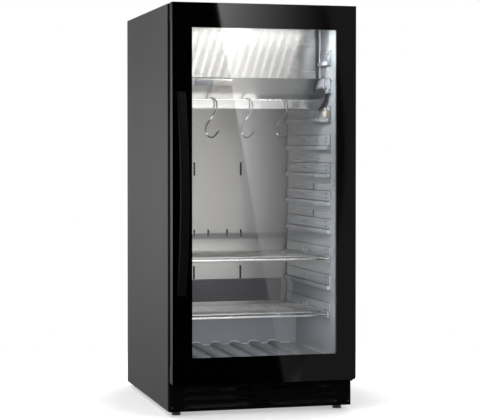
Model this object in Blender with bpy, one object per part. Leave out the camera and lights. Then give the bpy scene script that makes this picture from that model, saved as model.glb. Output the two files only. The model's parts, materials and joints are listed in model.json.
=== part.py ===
"""Dry aging cabinet with a glass door, built piece by piece in metres.

X is the width, Y runs from the front of the casing to its back, and Z is up. Lengths along Y are counted
from the front plane of the casing, and one empty carries them all to the middle of the floor space.
"""

import math

import bmesh
import bpy
from mathutils import Matrix, Vector

# Casing
CASE_WIDTH = 0.595
CASE_DEPTH = 0.670
CASE_TOP = 1.285
FOOT_HEIGHT = 0.015
SHEET = 0.0012
FLANGE = 0.012
FIT = 0.0003
OVERRUN = 0.010

# Insulated walls and the moulded liner
SIDE_WALL = 0.0425
ROOF_WALL = 0.040
FLOOR_WALL = 0.051
FLOOR_HEIGHT = 0.156
BACK_WALL = 0.070
LINER = 0.002
CORNER_RADIUS = 0.015
CORNER_STEPS = 3
HUMP_CORNER = 0.020
HUMP_CORNER_SHARES = (1 / 3, 2 / 3)
HUMP_DEPTH = 0.214
HUMP_RISE = 0.127
HUMP_WALL = 0.040

# Shelf ledges, moulded into the liner's side walls
LEDGE_PITCH = 0.091
LEDGE_FRONT = 0.066
LEDGE_BACK_GAP = 0.010
LIP_HEIGHT = 0.013
LIP_REACH = 0.012
LIP_CLEARANCE = 0.003
STRIP_HEIGHT = 0.034
STRIP_REACH = 0.0035
LEDGE_ROOM_ABOVE = 0.040

# Air duct and slotted back panel
DUCT_DEPTH = 0.050
BACK_PANEL_JOGGLE = 0.006
BACK_PANEL_SIDE_GAP = 0.003
FOLD_TOP = 0.540
FOLD_HEIGHT = 0.021
SLOT_WIDTH = 0.004
SLOT_HEIGHT = 0.044
SHORT_SLOT_HEIGHT = 0.026
SLOT_COLUMN = 0.084
INNER_SLOT_COLUMN = 0.034
SLOT_ROWS = (0.765, 0.403)

# Housing under the ceiling that holds the evaporator and its fan, and the duct under it
HOUSING_FRONT = 0.172
HOUSING_HEIGHT = 0.179
HOUSING_SIDE_GAP = 0.0125
HOUSING_TOP_GAP = 0.001
HOUSING_HEM = 0.014
SLOPE_FRONT = 0.1725
SLOPE_BACK = 0.238
GUIDE_FALL = 0.082
GUIDE_SIDE_GAP = 0.014
GRILLE_BAR_PITCH = 0.030
GRILLE_SLOT = 0.012
GRILLE_FRONT_MARGIN = 0.062
GRILLE_BACK_MARGIN = 0.070
GRILLE_SIDE_MARGIN = 0.035
FILTER_WIDTH = 0.060
FILTER_LENGTH = 0.024
FILTER_THICKNESS = 0.002
FILTER_MIDDLE = -0.110
FILTER_EDGE = 0.004

# Light above the door opening
LIGHT_END_MARGIN = 0.030
LIGHT_FRONT = 0.012
LIGHT_DEPTH = 0.040
LIGHT_HEIGHT = 0.023
LENS_THICKNESS = 0.003

# Evaporator and its fan
COIL_END_MARGIN = 0.0525
COIL_DEPTH = 0.070
COIL_HEIGHT = 0.105
COIL_BACK_GAP = 0.020
COIL_FINS = 15
FIN_THICKNESS = 0.0012
COIL_TUBE_RADIUS = 0.005
COIL_TUBE_SIDES = 8
COIL_BASE_GAP = 0.028
COIL_CORE_SHARE = 0.25
TRAY_WALL = 0.0015
DRIP_TRAY_HEIGHT = 0.022
DRIP_TRAY_MARGIN = 0.008
FAN_RADIUS = 0.060
FAN_HUB_RADIUS = 0.018
FAN_HUB_LENGTH = 0.016
FAN_BLADES = 5
FAN_CHORD = 0.034
FAN_STATIONS = 4
FAN_ROOT_PITCH = 48
FAN_TIP_PITCH = 22
FAN_ROOT_CHORD_SHARE = 0.55
FAN_SWEEP_SHARE = 0.25
SHROUD_SIDES = 24
BLADE_THICKNESS = 0.002
BLADE_SINK = 0.003
FAN_TIP_GAP = 0.004
SHROUD_THICKNESS = 0.003
SHROUD_LIP = 0.012
MOTOR_RADIUS = 0.020
MOTOR_LENGTH = 0.030
MOTOR_ARM = 0.006
SHAFT_RADIUS = 0.003
FAN_RUNNING_GAP = 0.0008
HOUSING_FAN_GAP = 0.045

# Hanging rail with its brackets and hooks
RAIL_BELOW_SEAT = 0.029
SEAT_ROOM = 0.037
RAIL_HEIGHT = 0.032
RAIL_THICKNESS = 0.006
RAIL_FROM_FRONT = 0.205
RAIL_EDGE_SEGMENTS = 4
RAIL_END_GAP = 0.009
BRACKET_SHEET = 0.003
BRACKET_FRONT_REACH = 0.119
BRACKET_TOP_BACK = 0.007
BRACKET_BACK_REACH = 0.017
BRACKET_BACK_DROP = 0.013
BRACKET_FOOT_FRONT = 0.055
BRACKET_FOOT_BACK = 0.007
BRACKET_FOOT_DROP = 0.003
BRACKET_FRONT_DROP = 0.002
BRACKET_SHOULDER = 0.002
HOOK_WIRE = 0.0024
HOOK_LOOP_RADIUS = 0.0265
HOOK_HEIGHT = 0.134
HOOK_TURN = 60.0
HOOK_GAP = 0.0005
HOOK_TIP_ANGLE = 190
HOOK_FLARE_ANGLE = 310
HOOK_FLARE = 0.022
HOOK_ARC_STEPS = 10
HOOK_SPACING = 0.120
HOOK_MIDDLE = 0.012
HOOK_SIDES = 8
HOOK_NAMES = ("left", "middle", "right")

# Wire shelves
SHELF_LEVELS = {"shelf_upper": 2, "shelf_lower": 0}
SHELF_FRONT = 0.060
SHELF_TO_HUMP = 0.071
SHELF_SIDE_GAP = 0.006
SHELF_ROD = 0.0035
CROSS_ROD = 0.0025
WELD_DEPTH = 0.0012
SHELF_BEND = 0.0135
FRONT_BAR = 0.0038
FRONT_BAR_SIDES = 12
FRONT_BAR_DROP = 0.0068
FRONT_BAR_OVERHANG = 0.001
POST_ROD = 0.0031
CROSS_ROD_RISE = 0.0027
CROSS_END_GAP = 0.002
CROSS_START = 0.017
CROSS_PITCH = 0.0313
SHELF_SUPPORTS = 2
STOP_SETBACKS = (0.101, 0.065)
STOP_HEIGHT = 0.015
SHELF_ROD_SIDES = 8
CROSS_ROD_SIDES = 6
BEND_STEPS = 4

# Corrugated tray on the floor of the cavity
TRAY_FRONT = 0.016
TRAY_HUMP_GAP = 0.003
TRAY_SIDE_GAP = 0.006
TRAY_RISE = 0.006
TRAY_EDGE_RISE = 0.0042
RIDGE_SIDE_MARGIN = 0.0165
RIDGE_PITCH = 0.0685
RIDGE_WIDTH = 0.038
RIDGE_HEIGHT = 0.010
RIDGE_STEPS = 6

# Small sensor on the right wall
SENSOR_SIZE = (0.012, 0.034, 0.020)
SENSOR_FROM_FRONT = 0.080
SENSOR_PRONG = 0.004
SENSOR_PRONG_HEIGHT = 0.010

# Door
GASKET_GAP = 0.022
DOOR_DEPTH = 0.038
DOOR_DROP = 0.002
GLASS = 0.004
PANE_GAP = 0.0097
STILE_BODY = 0.0425
RAIL_BODY = 0.060
LIP_COVER = 0.018
RAIL_LIP_COVER = 0.016
LIP_FRONT = 0.0183
LIP_THICKNESS = 0.0057
SLANT_START = 0.007
SPACER_WIDTH = 0.011
DOOR_CORNER = 0.008
DOOR_CORNER_STEPS = 4
GASKET_INSET = 0.0145
GASKET_WIDTH = 0.018
GASKET_BASE_WIDTH = 0.014
GASKET_WAIST = 0.008
GASKET_BASE = 0.004
GASKET_HEAD = 0.006

# Hinges
HINGE_FROM_EDGE = 0.0125
HINGE_FROM_BACK = 0.014
PIN_RADIUS = 0.004
PIN_LENGTH = 0.014
PIN_SIDES = 24
PIN_CLEARANCE = 0.0004
HINGE_LEAF = 0.003
HINGE_LEAF_HALF_WIDTH = 0.010
HINGE_LEAF_CLEARANCE = 0.0035
LEAF_END_STEPS = 8
HINGE_TOP_COVER = 0.0025
HINGE_NOTCH = 0.0355
HINGE_NOTCH_CLEARANCE = 0.001
HINGE_FLANGE_WIDTH = 0.034
HINGE_FLANGE_HEIGHT = 0.0115

# Bow handle
HANDLE_LENGTH = 0.616
HANDLE_MIDDLE = 0.696
HANDLE_WIDTH = 0.026
HANDLE_THICKNESS = 0.018
HANDLE_BOW = 0.048
HANDLE_STANDOFF = 0.004
HANDLE_FROM_EDGE = 0.0125
HANDLE_EDGE = 0.003
HANDLE_STEPS = 12
HANDLE_POST_RADIUS = 0.008
HANDLE_POST_INSET = 0.024
POST_SIDES = 16

# Plinth grille
PLINTH_STEP = 0.013
PLINTH_WALL = 0.003
PLINTH_SIDE_GAP = 0.001
PLINTH_TOP_GAP = 0.0005
PLINTH_SLOT_HEIGHT = 0.011
PLINTH_SLOT_PITCH = 0.025
PLINTH_SLOT_ROWS = 3
PLINTH_SLOT_INNER = 0.026
PLINTH_SLOT_OUTER = 0.0475

# Base pan and levelling feet
PAN_SHEET = 0.0015
PAN_FLANGE = 0.025
FOOT_INSET = 0.032
FOOT_REAR_INSET = 0.040
FOOT_DISC_RADIUS = 0.015
FOOT_DISC_HEIGHT = 0.008
FOOT_STEM_RADIUS = 0.005
FOOT_STEM_HEIGHT = 0.048
FOOT_COLLAR_RADIUS = 0.009
FOOT_STEM_CLEARANCE = 0.0006
FOOT_SIDES = 20
FOOT_BOSS_RADIUS = 0.010
FOOT_BOSS_HEIGHT = 0.008
BOSS_SIDES = 6
BOSS_SINK = 0.0005

# Machine compartment
COMPRESSOR_FROM_MIDDLE = 0.077
COMPRESSOR_FROM_SIDE = 0.0445
COMPRESSOR_RADIUS_Y = 0.066
COMPRESSOR_HEIGHT = 0.150
COMPRESSOR_SIDES = 20
COMPRESSOR_PLATE = 0.003
COMPRESSOR_PLATE_MARGIN = 0.010
GROMMET_RADIUS = 0.009
GROMMET_INSET = 0.011
GROMMET_HEIGHT = 0.012
STUB_RADIUS = 0.004
STUB_LENGTH = 0.012
TERMINAL_SIZE = (0.020, 0.045, 0.060)
WELD_FLANGE = 0.005
SHELL_SHARES = (
    (0.55, 0.0, 0),
    (0.90, 0.06, 0),
    (1.0, 0.20, 0),
    (1.0, 0.50, 1),
    (1.0, 0.54, 1),
    (0.97, 0.74, 0),
    (0.82, 0.90, 0),
    (0.48, 0.985, 0),
)
TERMINAL_HEIGHT_SHARE = 0.3
STUB_ROOT_SHARE = 0.8
STUB_PLACE_SHARE = 0.55
STUB_SIDES = 10
CONDENSER_FROM_MIDDLE = 0.145
CONDENSER_FROM_SIDE = 0.0425
CONDENSER_DEPTH = 0.130
CONDENSER_HEIGHT = 0.150
CONDENSER_FINS = 9
CONDENSER_FAN_GAP = 0.015
CONDENSER_FAN_RADIUS = 0.062
PIPE_RADIUS = 0.003
PIPE_GAP = 0.0006
PIPE_ROUTE_RISE = 0.025
PIPE_BEND = 0.015
DRIER_RADIUS = 0.010
DRIER_LENGTH = 0.070
DRIER_X = 0.035
CONTROL_SIZE = (0.120, 0.066, 0.045)
CONTROL_X = -0.020
EVAPORATION_TRAY_SIZE = (0.130, 0.110, 0.024)
COVER_SLOT_WIDTH = 0.120
COVER_SLOT_HEIGHT = 0.005
COVER_SLOT_PITCH = 0.014
COVER_SLOT_ROWS = 9
COVER_SLOT_COLUMN = 0.135
GLAND_RADIUS = 0.009
GLAND_LENGTH = 0.012
GLAND_NUT = 0.005
GLAND_SIDES = 12

# Places worked out from the sizes above
HALF_WIDTH = CASE_WIDTH / 2
CAVITY_HALF = HALF_WIDTH - SIDE_WALL
CAVITY_TOP = CASE_TOP - ROOF_WALL
CAVITY_DEPTH = CASE_DEPTH - BACK_WALL
HUMP_FRONT = CASE_DEPTH - HUMP_DEPTH
BACK_PANEL_FRONT = CAVITY_DEPTH - DUCT_DEPTH
UNDERSIDE = FLOOR_HEIGHT - FLOOR_WALL
HUMP_TOP = FLOOR_HEIGHT + HUMP_RISE
COMPARTMENT_FRONT = HUMP_FRONT + HUMP_WALL
COMPARTMENT_TOP = HUMP_TOP - HUMP_WALL
FIRST_LEDGE = HUMP_TOP + LIP_CLEARANCE + LIP_HEIGHT
LEDGE_COUNT = 1 + int((CAVITY_TOP - LEDGE_ROOM_ABOVE - FIRST_LEDGE) / LEDGE_PITCH)
LEDGE_BACK = BACK_PANEL_FRONT - LEDGE_BACK_GAP
HOUSING_BOTTOM = CAVITY_TOP - HOUSING_HEIGHT
HOUSING_HALF = CAVITY_HALF - HOUSING_SIDE_GAP
GUIDE_BOTTOM = HOUSING_BOTTOM - GUIDE_FALL
GUIDE_HALF = CAVITY_HALF - GUIDE_SIDE_GAP
GRILLE_START = SLOPE_BACK + GRILLE_FRONT_MARGIN
GRILLE_LENGTH = BACK_PANEL_FRONT - GRILLE_START - GRILLE_BACK_MARGIN
GRILLE_SPAN = 2 * (GUIDE_HALF - GRILLE_SIDE_MARGIN) - GRILLE_SLOT
GRILLE_BARS = 1 + int(GRILLE_SPAN / GRILLE_BAR_PITCH)
LIGHT_WIDTH = 2 * (CAVITY_HALF - LIGHT_END_MARGIN)
SEAT_LEVEL = int((HOUSING_BOTTOM - SEAT_ROOM - FIRST_LEDGE) / LEDGE_PITCH)
RAIL_TOP = FIRST_LEDGE + SEAT_LEVEL * LEDGE_PITCH - RAIL_BELOW_SEAT
RAIL_AXIS = RAIL_TOP - RAIL_THICKNESS / 2
DOOR_BACK = -GASKET_GAP
DOOR_FRONT = DOOR_BACK - DOOR_DEPTH
DOOR_BOTTOM = UNDERSIDE - DOOR_DROP
FRAME_FRONT = DOOR_FRONT + GLASS + FIT
WINDOW_HALF = HALF_WIDTH - STILE_BODY - LIP_COVER
HINGE_X = HALF_WIDTH - HINGE_FROM_EDGE
HINGE_Y = DOOR_BACK - HINGE_FROM_BACK
HANDLE_FRONT = DOOR_FRONT - HANDLE_STANDOFF - HANDLE_BOW - HANDLE_THICKNESS
CASE_FRONT = -(HANDLE_FRONT + CASE_DEPTH) / 2
LOWER_LEAF_BOTTOM = DOOR_BOTTOM - HINGE_LEAF_CLEARANCE - HINGE_LEAF
PLINTH_TOP = LOWER_LEAF_BOTTOM - PLINTH_TOP_GAP
UPPER_LEAF_TOP = CASE_TOP - HINGE_TOP_COVER
PAN_TOP = FOOT_HEIGHT + PAN_SHEET
SHELF_ROD_X = CAVITY_HALF - SHELF_SIDE_GAP - SHELF_ROD
SHELF_BACK = HUMP_FRONT - SHELF_TO_HUMP
CROSS_COUNT = 1 + int((SHELF_BACK - SHELF_FRONT - CROSS_START) / CROSS_PITCH)
RIDGE_COUNT = int(2 * (CAVITY_HALF - TRAY_SIDE_GAP - RIDGE_SIDE_MARGIN) / RIDGE_PITCH)
COMPARTMENT_MIDDLE = (COMPARTMENT_FRONT + SHEET + CASE_DEPTH - SHEET) / 2
COMPRESSOR_RADIUS_X = (HALF_WIDTH - COMPRESSOR_FROM_SIDE - COMPRESSOR_FROM_MIDDLE) / 2
COMPRESSOR_X = COMPRESSOR_FROM_MIDDLE + COMPRESSOR_RADIUS_X
CONDENSER_WIDTH = HALF_WIDTH - CONDENSER_FROM_SIDE - CONDENSER_FROM_MIDDLE
CONDENSER_X = -CONDENSER_FROM_MIDDLE - CONDENSER_WIDTH / 2
CONDENSER_FAN_X = CONDENSER_FAN_GAP - CONDENSER_FROM_MIDDLE
COIL_BACK = BACK_PANEL_FRONT - COIL_BACK_GAP
COIL_WIDTH = 2 * (HOUSING_HALF - COIL_END_MARGIN)
COIL_BOTTOM = HOUSING_BOTTOM + COIL_BASE_GAP
HOUSING_FAN_Y = COIL_BACK - COIL_DEPTH - HOUSING_FAN_GAP
HOUSING_FAN_Z = COIL_BOTTOM + COIL_HEIGHT / 2

MATERIALS = {
    "graphite_paint": ((0.105, 0.105, 0.108), 0.42, 0.3),
    "dark_edge": ((0.035, 0.035, 0.037), 0.45, 0.2),
    "black_steel": ((0.012, 0.012, 0.013), 0.45, 0.3),
    "black_glass": ((0.004, 0.004, 0.005), 0.05, 0.0),
    "clear_glass": ((0.80, 0.85, 0.84), 0.03, 0.0),
    "zinc_sheet": ((0.45, 0.46, 0.47), 0.40, 0.9),
    "stainless": ((0.62, 0.62, 0.61), 0.25, 1.0),
    "polished_steel": ((0.75, 0.75, 0.74), 0.12, 1.0),
    "liner_grey": ((0.17, 0.18, 0.19), 0.50, 0.0),
    "foam": ((0.80, 0.72, 0.50), 0.90, 0.0),
    "seal_black": ((0.015, 0.015, 0.016), 0.80, 0.0),
    "black_plastic": ((0.018, 0.018, 0.019), 0.50, 0.0),
    "white_plastic": ((0.78, 0.78, 0.76), 0.45, 0.0),
    "light_lens": ((0.95, 0.95, 0.93), 0.30, 0.0),
    "carbon_felt": ((0.05, 0.055, 0.06), 0.95, 0.0),
    "copper": ((0.72, 0.36, 0.22), 0.30, 1.0),
    "fin_aluminium": ((0.70, 0.71, 0.72), 0.35, 1.0),
}


def clear_scene():
    for obj in list(bpy.data.objects):
        bpy.data.objects.remove(obj, do_unlink=True)


def material(name):
    found = bpy.data.materials.get(name)
    if found:
        return found
    colour, roughness, metallic = MATERIALS[name]
    made = bpy.data.materials.new(name)
    made.use_nodes = True
    shader = made.node_tree.nodes["Principled BSDF"]
    shader.inputs["Base Color"].default_value = (*colour, 1.0)
    shader.inputs["Roughness"].default_value = roughness
    shader.inputs["Metallic"].default_value = metallic
    return made


def axis_empty(name, place, parent=None):
    empty = bpy.data.objects.new(name, None)
    empty.location = place
    empty.parent = parent
    bpy.context.scene.collection.objects.link(empty)
    return empty


def piece(name, bm, finish, carrier, pivot=(0, 0, 0)):
    """Makes one named piece from a mesh drawn in the casing's own frame, with its origin on its pivot."""
    bmesh.ops.recalc_face_normals(bm, faces=bm.faces)
    bmesh.ops.translate(bm, vec=-Vector(pivot), verts=bm.verts)
    mesh = bpy.data.meshes.new(name)
    bm.to_mesh(mesh)
    bm.free()
    mesh.shade_smooth()
    mesh.set_sharp_from_angle(angle=math.radians(30))
    mesh.materials.append(material(finish))
    obj = bpy.data.objects.new(name, mesh)
    obj.parent = carrier
    bpy.context.scene.collection.objects.link(obj)
    return obj


def hidden_helper(name, bm, frame):
    helper = piece(name, bm, "black_plastic", frame)
    helper.hide_render = True
    helper.display_type = "WIRE"
    return helper


def add_boolean(target, helper, operation, own_overlaps=False):
    modifier = target.modifiers.new(f"{operation.lower()} {len(target.modifiers)}", "BOOLEAN")
    modifier.operation = operation
    modifier.object = helper
    modifier.solver = "EXACT"
    modifier.use_self = own_overlaps


def boolean(target, bm, operation, frame, own_overlaps=False):
    """Cuts a hidden helper mesh from a piece, or joins it to the piece."""
    name = f"{target.name}_{operation.lower()}_{len(target.modifiers)}"
    add_boolean(target, hidden_helper(name, bm, frame), operation, own_overlaps)


def add_box(bm, low, high):
    low = Vector(low)
    high = Vector(high)
    size = high - low
    matrix = Matrix.Translation((low + high) / 2) @ Matrix.Diagonal((*size, 1))
    return bmesh.ops.create_cube(bm, size=1, matrix=matrix)["verts"]


def add_rod(bm, start, end, radius, sides, end_radius=None):
    start = Vector(start)
    end = Vector(end)
    run = end - start
    turn = run.to_track_quat("Z", "Y").to_matrix().to_4x4()
    matrix = Matrix.Translation((start + end) / 2) @ turn
    bmesh.ops.create_cone(
        bm,
        cap_ends=True,
        segments=sides,
        radius1=radius,
        radius2=radius if end_radius is None else end_radius,
        depth=run.length,
        matrix=matrix,
    )


def add_prism(bm, outline, place, low, high):
    """Extrudes an outline from low to high. place turns (a, b, along) into a point."""
    verts = [bm.verts.new(place(a, b, low)) for a, b in outline]
    face = bm.faces.new(verts)
    grown = bmesh.ops.extrude_face_region(bm, geom=[face])["geom"]
    moved = [item for item in grown if isinstance(item, bmesh.types.BMVert)]
    run = Vector(place(0, 0, high)) - Vector(place(0, 0, low))
    bmesh.ops.translate(bm, vec=run, verts=moved)
    return moved


def along_x(a, b, along):
    return (along, a, b)


def along_y(a, b, along):
    return (a, along, b)


def along_z(a, b, along):
    return (a, b, along)


def add_tube(bm, points, radius, sides, closed=False):
    """Sweeps a round section along a line of points, with flat ends unless the line is closed."""
    points = [Vector(point) for point in points]
    count = len(points)
    rings = []
    normal = None
    for i, point in enumerate(points):
        before = points[i - 1] if closed or i > 0 else point
        after = points[(i + 1) % count] if closed or i < count - 1 else point
        tangent = (after - before).normalized()
        if normal is None:
            normal = tangent.orthogonal().normalized()
        normal = (normal - normal.dot(tangent) * tangent).normalized()
        side = tangent.cross(normal)
        ring = []
        for k in range(sides):
            angle = math.tau * k / sides
            ring.append(bm.verts.new(point + radius * (math.cos(angle) * normal + math.sin(angle) * side)))
        rings.append(ring)
    pairs = list(zip(rings, rings[1:]))
    if closed:
        last, first = rings[-1], rings[0]
        shift = min(range(sides), key=lambda k: (first[k].co - last[0].co).length)
        pairs.append((last, first[shift:] + first[:shift]))
    for ring, following in pairs:
        for k in range(sides):
            j = (k + 1) % sides
            bm.faces.new((ring[k], ring[j], following[j], following[k]))
    if not closed:
        bm.faces.new(rings[0])
        bm.faces.new(rings[-1])


def rounded_corner(before, corner, after, radius, steps):
    """Points that turn the corner from before to after on a curve that starts radius away from it."""
    corner = Vector(corner)
    start = corner + radius * (Vector(before) - corner).normalized()
    end = corner + radius * (Vector(after) - corner).normalized()
    turned = []
    for k in range(steps + 1):
        t = k / steps
        turned.append(start * (1 - t) ** 2 + corner * 2 * t * (1 - t) + end * t**2)
    return turned


def add_ring_sweep(bm, outline, half_width, bottom, top):
    """Sweeps an outline of (offset, y) points round an upright rectangle, mitred at its corners."""
    loops = []
    for offset, y in outline:
        x = half_width + offset
        low = bottom - offset
        high = top + offset
        corners = ((-x, low), (x, low), (x, high), (-x, high))
        loops.append([bm.verts.new((cx, y, cz)) for cx, cz in corners])
    count = len(loops)
    for i in range(count):
        for k in range(4):
            j = (k + 1) % 4
            following = loops[(i + 1) % count]
            bm.faces.new((loops[i][k], loops[i][j], following[j], following[k]))


def cavity_mesh(grow, front):
    """The space inside the liner without the hump, grown outward by a wall, with rounded long edges."""
    half = CAVITY_HALF + grow
    low = FLOOR_HEIGHT - grow
    high = CAVITY_TOP + grow
    radius = CORNER_RADIUS + grow
    outline = []
    corners = (
        (half - radius, low + radius, -90),
        (half - radius, high - radius, 0),
        (radius - half, high - radius, 90),
        (radius - half, low + radius, 180),
    )
    for x, z, first in corners:
        for k in range(CORNER_STEPS + 1):
            angle = math.radians(first + 90 * k / CORNER_STEPS)
            outline.append((x + radius * math.cos(angle), z + radius * math.sin(angle)))
    bm = bmesh.new()
    add_prism(bm, outline, along_y, front, CAVITY_DEPTH + grow)
    return bm


def hump_mesh(grow):
    """The block over the machine compartment, whose front meets the side walls in a round corner."""
    front = HUMP_FRONT + grow
    back = CAVITY_DEPTH + OVERRUN
    radius = HUMP_CORNER + grow
    centre_x = CAVITY_HALF - HUMP_CORNER
    centre_y = HUMP_FRONT - HUMP_CORNER
    arc = [(centre_x, front)]
    for share in HUMP_CORNER_SHARES:
        angle = math.pi / 2 * (1 - share)
        arc.append((centre_x + radius * math.cos(angle), centre_y + radius * math.sin(angle)))
    (ax, ay), (bx, by) = arc[-2:]
    past = CAVITY_HALF + OVERRUN
    arc.append((past, by + (past - bx) * (by - ay) / (bx - ax)))
    outline = [(-past, back), *[(-x, y) for x, y in reversed(arc)], *arc, (past, back)]
    bm = bmesh.new()
    add_prism(bm, outline, along_z, FLOOR_HEIGHT - OVERRUN, HUMP_TOP - grow)
    return bm


def cavity_cutter(name, grow, cabinet):
    cutter = hidden_helper(f"{name}_cavity", cavity_mesh(grow, -OVERRUN), cabinet)
    boolean(cutter, hump_mesh(grow), "DIFFERENCE", cabinet)
    return cutter


def ledge_height(level):
    return FIRST_LEDGE + level * LEDGE_PITCH


def make_casing(cabinet):
    inner = HALF_WIDTH - SHEET
    flange = HALF_WIDTH - FLANGE
    for side, name in ((-1, "side_panel_left"), (1, "side_panel_right")):
        outline = (
            (side * HALF_WIDTH, 0),
            (side * HALF_WIDTH, CASE_DEPTH),
            (side * flange, CASE_DEPTH),
            (side * flange, CASE_DEPTH - SHEET),
            (side * inner, CASE_DEPTH - SHEET),
            (side * inner, SHEET),
            (side * flange, SHEET),
            (side * flange, 0),
        )
        bm = bmesh.new()
        add_prism(bm, outline, along_z, FOOT_HEIGHT, CASE_TOP)
        piece(name, bm, "graphite_paint", cabinet)

    half = inner - FIT
    bm = bmesh.new()
    add_box(bm, (-half, SHEET + FIT, CASE_TOP - SHEET), (half, CASE_DEPTH - SHEET - FIT, CASE_TOP))
    piece("top_panel", bm, "graphite_paint", cabinet)

    half = flange - FIT
    bm = bmesh.new()
    add_box(bm, (-half, CASE_DEPTH - SHEET, COMPARTMENT_TOP + FIT), (half, CASE_DEPTH, CASE_TOP))
    piece("rear_panel", bm, "zinc_sheet", cabinet)

    bm = bmesh.new()
    add_box(bm, (-half, 0, UNDERSIDE - SHEET), (half, SHEET, CASE_TOP))
    frame = piece("front_frame", bm, "graphite_paint", cabinet)
    boolean(frame, cavity_mesh(LINER + FIT, -OVERRUN), "DIFFERENCE", cabinet)


def make_underbody(cabinet):
    """The folded sheet under the foam, which steps up over the machine compartment."""
    front = SHEET + FIT
    back = CASE_DEPTH - SHEET - FIT
    low = UNDERSIDE - SHEET
    wall = COMPARTMENT_FRONT
    high = COMPARTMENT_TOP
    outline = (
        (front, low),
        (wall + SHEET, low),
        (wall + SHEET, high - SHEET),
        (back, high - SHEET),
        (back, high),
        (wall, high),
        (wall, UNDERSIDE),
        (front, UNDERSIDE),
    )
    half = HALF_WIDTH - SHEET - FIT
    bm = bmesh.new()
    add_prism(bm, outline, along_x, -half, half)
    piece("underbody_panel", bm, "zinc_sheet", cabinet)


def make_foam(cabinet):
    front = SHEET + FIT
    back = CASE_DEPTH - SHEET - FIT
    top = CASE_TOP - SHEET - FIT
    outline = (
        (front, UNDERSIDE + FIT),
        (COMPARTMENT_FRONT - FIT, UNDERSIDE + FIT),
        (COMPARTMENT_FRONT - FIT, COMPARTMENT_TOP + FIT),
        (back, COMPARTMENT_TOP + FIT),
        (back, top),
        (front, top),
    )
    half = HALF_WIDTH - SHEET - FIT
    bm = bmesh.new()
    add_prism(bm, outline, along_x, -half, half)
    foam = piece("insulation_foam", bm, "foam", cabinet)
    add_boolean(foam, cavity_cutter("insulation_foam", LINER + FIT, cabinet), "DIFFERENCE")


def make_liner(cabinet):
    liner = piece("inner_liner", cavity_mesh(LINER, 0), "liner_grey", cabinet)
    boolean(liner, hump_mesh(LINER), "DIFFERENCE", cabinet)
    add_boolean(liner, cavity_cutter("inner_liner", 0, cabinet), "DIFFERENCE")
    bm = bmesh.new()
    sunk = CAVITY_HALF + LINER / 2
    strip = CAVITY_HALF - STRIP_REACH
    lip = CAVITY_HALF - LIP_REACH
    for level in range(LEDGE_COUNT):
        top = ledge_height(level)
        bottom = top - LIP_HEIGHT
        strip_top = top + STRIP_HEIGHT
        for side in (-1, 1):
            outline = (
                (side * sunk, bottom),
                (side * lip, bottom),
                (side * lip, top),
                (side * strip, top),
                (side * strip, strip_top),
                (side * sunk, strip_top),
            )
            add_prism(bm, outline, along_y, LEDGE_FRONT, LEDGE_BACK)
    boolean(liner, bm, "UNION", cabinet)


def make_back_panel(cabinet):
    front = BACK_PANEL_FRONT
    set_back = front + BACK_PANEL_JOGGLE
    fold_bottom = FOLD_TOP - FOLD_HEIGHT
    top = GUIDE_BOTTOM - FIT
    bottom = HUMP_TOP + FIT
    outline = (
        (front, top),
        (front, FOLD_TOP),
        (set_back, fold_bottom),
        (set_back, bottom),
        (set_back + SHEET, bottom),
        (set_back + SHEET, fold_bottom),
        (front + SHEET, FOLD_TOP),
        (front + SHEET, top),
    )
    half = CAVITY_HALF - BACK_PANEL_SIDE_GAP
    bm = bmesh.new()
    add_prism(bm, outline, along_x, -half, half)
    panel = piece("back_panel", bm, "stainless", cabinet)
    bm = bmesh.new()
    through = (front - OVERRUN, set_back + OVERRUN)
    for row in SLOT_ROWS:
        for x in (-SLOT_COLUMN, SLOT_COLUMN):
            low = (x - SLOT_WIDTH / 2, through[0], row - SLOT_HEIGHT / 2)
            high = (x + SLOT_WIDTH / 2, through[1], row + SLOT_HEIGHT / 2)
            add_box(bm, low, high)
    for x in (-SLOT_COLUMN, -INNER_SLOT_COLUMN, INNER_SLOT_COLUMN, SLOT_COLUMN):
        low = (x - SLOT_WIDTH / 2, through[0], FOLD_TOP - SHORT_SLOT_HEIGHT / 2)
        high = (x + SLOT_WIDTH / 2, through[1], FOLD_TOP + SHORT_SLOT_HEIGHT / 2)
        add_box(bm, low, high)
    boolean(panel, bm, "DIFFERENCE", cabinet)


def make_housing(cabinet):
    """The steel housing under the ceiling: front, sides and a floor with a large air opening."""
    back = BACK_PANEL_FRONT - FIT
    top = CAVITY_TOP - HOUSING_TOP_GAP
    bm = bmesh.new()
    add_box(bm, (-HOUSING_HALF, HOUSING_FRONT, HOUSING_BOTTOM), (HOUSING_HALF, back, top))
    housing = piece("evaporator_housing", bm, "stainless", cabinet)
    inner = HOUSING_HALF - SHEET
    bm = bmesh.new()
    low = (-inner, HOUSING_FRONT + SHEET, HOUSING_BOTTOM + SHEET)
    add_box(bm, low, (inner, back - SHEET, top + OVERRUN))
    boolean(housing, bm, "DIFFERENCE", cabinet)
    bm = bmesh.new()
    low = (-inner, back - OVERRUN, HOUSING_BOTTOM + HOUSING_HEM)
    add_box(bm, low, (inner, back + OVERRUN, top + OVERRUN))
    boolean(housing, bm, "DIFFERENCE", cabinet)
    bm = bmesh.new()
    half = HOUSING_HALF - HOUSING_HEM
    low = (-half, SLOPE_FRONT + HOUSING_HEM, HOUSING_BOTTOM - OVERRUN)
    high = (half, HOUSING_FAN_Y - HOUSING_FAN_GAP, HOUSING_BOTTOM + 2 * SHEET)
    add_box(bm, low, high)
    boolean(housing, bm, "DIFFERENCE", cabinet)


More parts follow.
